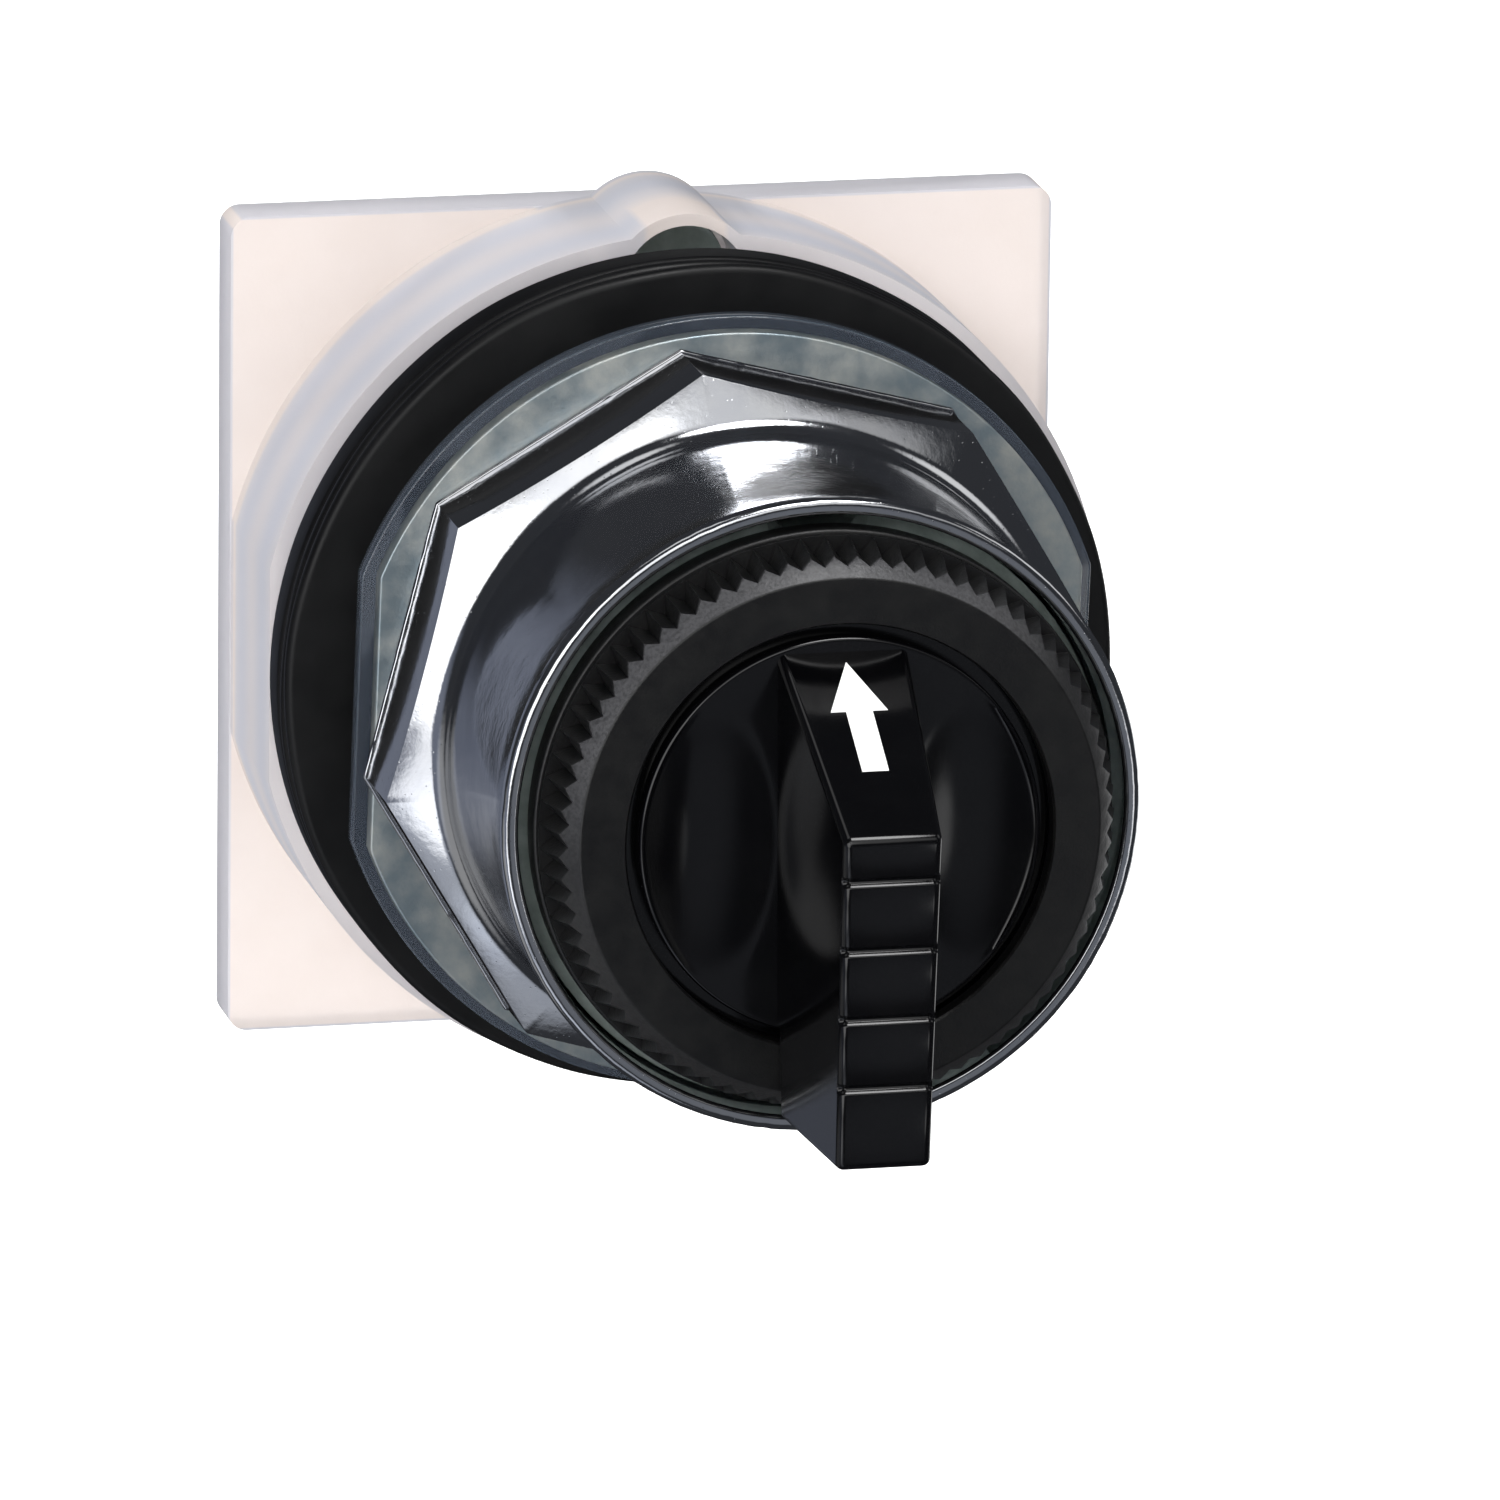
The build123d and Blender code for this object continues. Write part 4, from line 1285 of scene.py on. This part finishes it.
@dataclass
class Studio:
    """Floor, lights, reflections and camera."""

    azimuth: float = -13.04
    elevation: float = 14.9
    roll: float = 0.7
    distance: float = 873.0
    lens: float = 416.0
    target: tuple[float, float, float] = (0.0, 15.7, 0.0)
    shift_right: float = 5.90
    shift_up: float = -7.49
    floor_height: float = -0.16
    floor_glow: float = 0.55
    ambient: tuple[float, float, float] = (0.035, 0.037, 0.042)
    panels: tuple[Panel, ...] = (
        Panel((-0.62, -0.76, 0.15), 15, 23, 2.0),
        Panel((-0.25, -0.84, 0.48), 10, 21, 1.4),
        Panel((-0.62, -0.7, -0.36), 6, 13, 1.2),
        Panel((-0.5, -0.66, -0.56), 8, 20, 0.5, "E6ECF8"),
        Panel((0.12, -0.79, 0.6), 8, 22, 0.8),
        Panel((0.5, -0.7, 0.5), 4, 14, 0.4),
        Panel((-0.3, -0.56, -0.77), 6, 18, 0.45, "E6ECF8"),
        Panel((0.16, -0.37, 0.91), 9, 15, 8.0),
        Panel((-0.88, -0.4, -0.2), 8, 30, 0.26, "C9D2EA"),
        Panel((0.25, -0.93, -0.3), 6, 24, 0.16, "E6ECF8"),
        Panel((0.5, -0.83, -0.27), 3, 8, 1.1),
        Panel((0.2, 0.93, 0.3), 3, 8, 0.4),
        Panel((-0.3, 0.92, -0.15), 8, 24, 0.25, "C9D2EA"),
        Panel((0.8, 0.52, -0.26), 8, 16, 1.5),
        Panel((-0.8, 0.1, -0.5), 14, 30, 0.3),
        Panel((-0.35, 0.1, 0.93), 6, 16, 0.8),
        Panel((0.85, -0.08, 0.52), 8, 18, 0.8),
    )

    def camera(self) -> None:
        """Stand the camera to the left of the axis and a little above."""
        a, e, r = radians(self.azimuth), radians(self.elevation), radians(self.roll)
        back = Vector((sin(a) * cos(e), -cos(a) * cos(e), sin(e)))
        right = (-back).cross(Vector((0, 0, 1))).normalized()
        up = right.cross(-back)
        right, up = right * cos(r) + up * sin(r), up * cos(r) - right * sin(r)
        place = Vector(self.target) + back * self.distance
        place += right * self.shift_right + up * self.shift_up
        data = bpy.data.cameras.new("view")
        data.lens, data.sensor_width = self.lens, 36.0
        data.clip_start, data.clip_end = 0.05, 20.0
        made = bpy.data.objects.new("view", data)
        bpy.context.scene.collection.objects.link(made)
        turn = Matrix((right, up, back)).transposed().to_4x4()
        made.matrix_world = Matrix.Translation(place * MM) @ turn
        bpy.context.scene.camera = made

    def floor(self) -> None:
        """Lay a plain pale floor well below the part."""
        bm = bmesh.new()
        bmesh.ops.create_grid(bm, x_segments=1, y_segments=1, size=4.0)
        bmesh.ops.translate(bm, vec=(0, 0, self.floor_height), verts=bm.verts)
        mesh = bpy.data.meshes.new("floor")
        bm.to_mesh(mesh)
        bm.free()
        material = bpy.data.materials.new("white studio paper")
        material.use_nodes = True
        shader = material.node_tree.nodes["Principled BSDF"]
        shader.inputs["Base Color"].default_value = linear("F7F7F7")
        shader.inputs["Roughness"].default_value = 0.9
        shader.inputs["Emission Color"].default_value = (1, 1, 1, 1)
        shader.inputs["Emission Strength"].default_value = self.floor_glow
        mesh.materials.append(material)
        made = bpy.data.objects.new("floor", mesh)
        bpy.context.scene.collection.objects.link(made)
        made.visible_glossy = False

    def lamp(self, name: str, place: Triple, size: float, power: float) -> None:
        """Hang one soft lamp that points at the part.

        Args:
            name: the lamp's name.
            place: where it hangs, in metres.
            size: side of its square face, in metres.
            power: watts.
        """
        data = bpy.data.lights.new(name, "AREA")
        data.size, data.energy = size, power
        made = bpy.data.objects.new(name, data)
        bpy.context.scene.collection.objects.link(made)
        made.location = place
        made.rotation_mode = "QUATERNION"
        made.rotation_quaternion = Vector(place).to_track_quat("Z", "Y")
        made.visible_glossy = False
        made.visible_camera = False

    def reflections(self) -> None:
        """Build the surroundings that the glossy pieces mirror; the eye sees plain white."""
        world = bpy.data.worlds.new("studio")
        bpy.context.scene.world = world
        world.use_nodes = True
        tree = world.node_tree
        tree.nodes.clear()
        way = add(tree, "ShaderNodeTexCoord").outputs["Generated"]
        total = add(tree, "ShaderNodeCombineColor", dict(enumerate(self.ambient))).outputs[0]
        for panel in self.panels:
            inputs = {0: way, 1: tuple(Vector(panel.towards).normalized())}
            facing = add(
                tree, "ShaderNodeVectorMath", inputs, operation="DOT_PRODUCT"
            ).outputs["Value"]
            edge, full = (cos(radians(angle)) for angle in (panel.outer, panel.inner))
            glow = ramp(tree, facing, edge, full, high=panel.strength, smooth=True)
            inputs = {0: linear(panel.tint)[:3], "Scale": glow}
            tinted = add(tree, "ShaderNodeVectorMath", inputs, operation="SCALE").outputs[0]
            inputs = {0: total, 1: tinted}
            total = add(tree, "ShaderNodeVectorMath", inputs, operation="ADD").outputs[0]
        path = add(tree, "ShaderNodeLightPath").outputs
        seen = maths(tree, "MAXIMUM", path["Is Camera Ray"], path["Is Transmission Ray"])
        colour = mixed(tree, seen, total, (1.0, 1.0, 1.0, 1.0))
        sky = add(tree, "ShaderNodeBackground", {"Color": colour, "Strength": 1.0})
        add(tree, "ShaderNodeOutputWorld", {"Surface": sky.outputs[0]})

    def build(self) -> None:
        """Set up the studio."""
        self.camera()
        self.floor()
        self.reflections()
        self.lamp("key", (-0.7, -0.8, 0.6), size=0.5, power=9.0)
        self.lamp("fill", (0.9, -0.6, 0.3), size=0.6, power=4.5)
        self.lamp("top", (0.1, 0.1, 1.1), size=0.7, power=7.0)
        self.lamp("rear", (-0.3, 1.0, 0.5), size=0.7, power=6.0)
        scene = bpy.context.scene
        scene.view_settings.view_transform = "Standard"
        scene.view_settings.look = "None"


def main() -> None:
    """Build every piece in order, then the studio."""
    logging.basicConfig(level=logging.INFO, format="%(name)s: %(message)s")
    for part in (
        RearBase(),
        CastBody(),
        PanelSeals(),
        PanelWashers(),
        RingNut(),
        FrontSleeve(),
        SelectorKnob(),
        ReturnSprings(),
        InnerWorks(),
        Studio(),
    ):
        part.build()


if __name__ == "__main__":
    main()
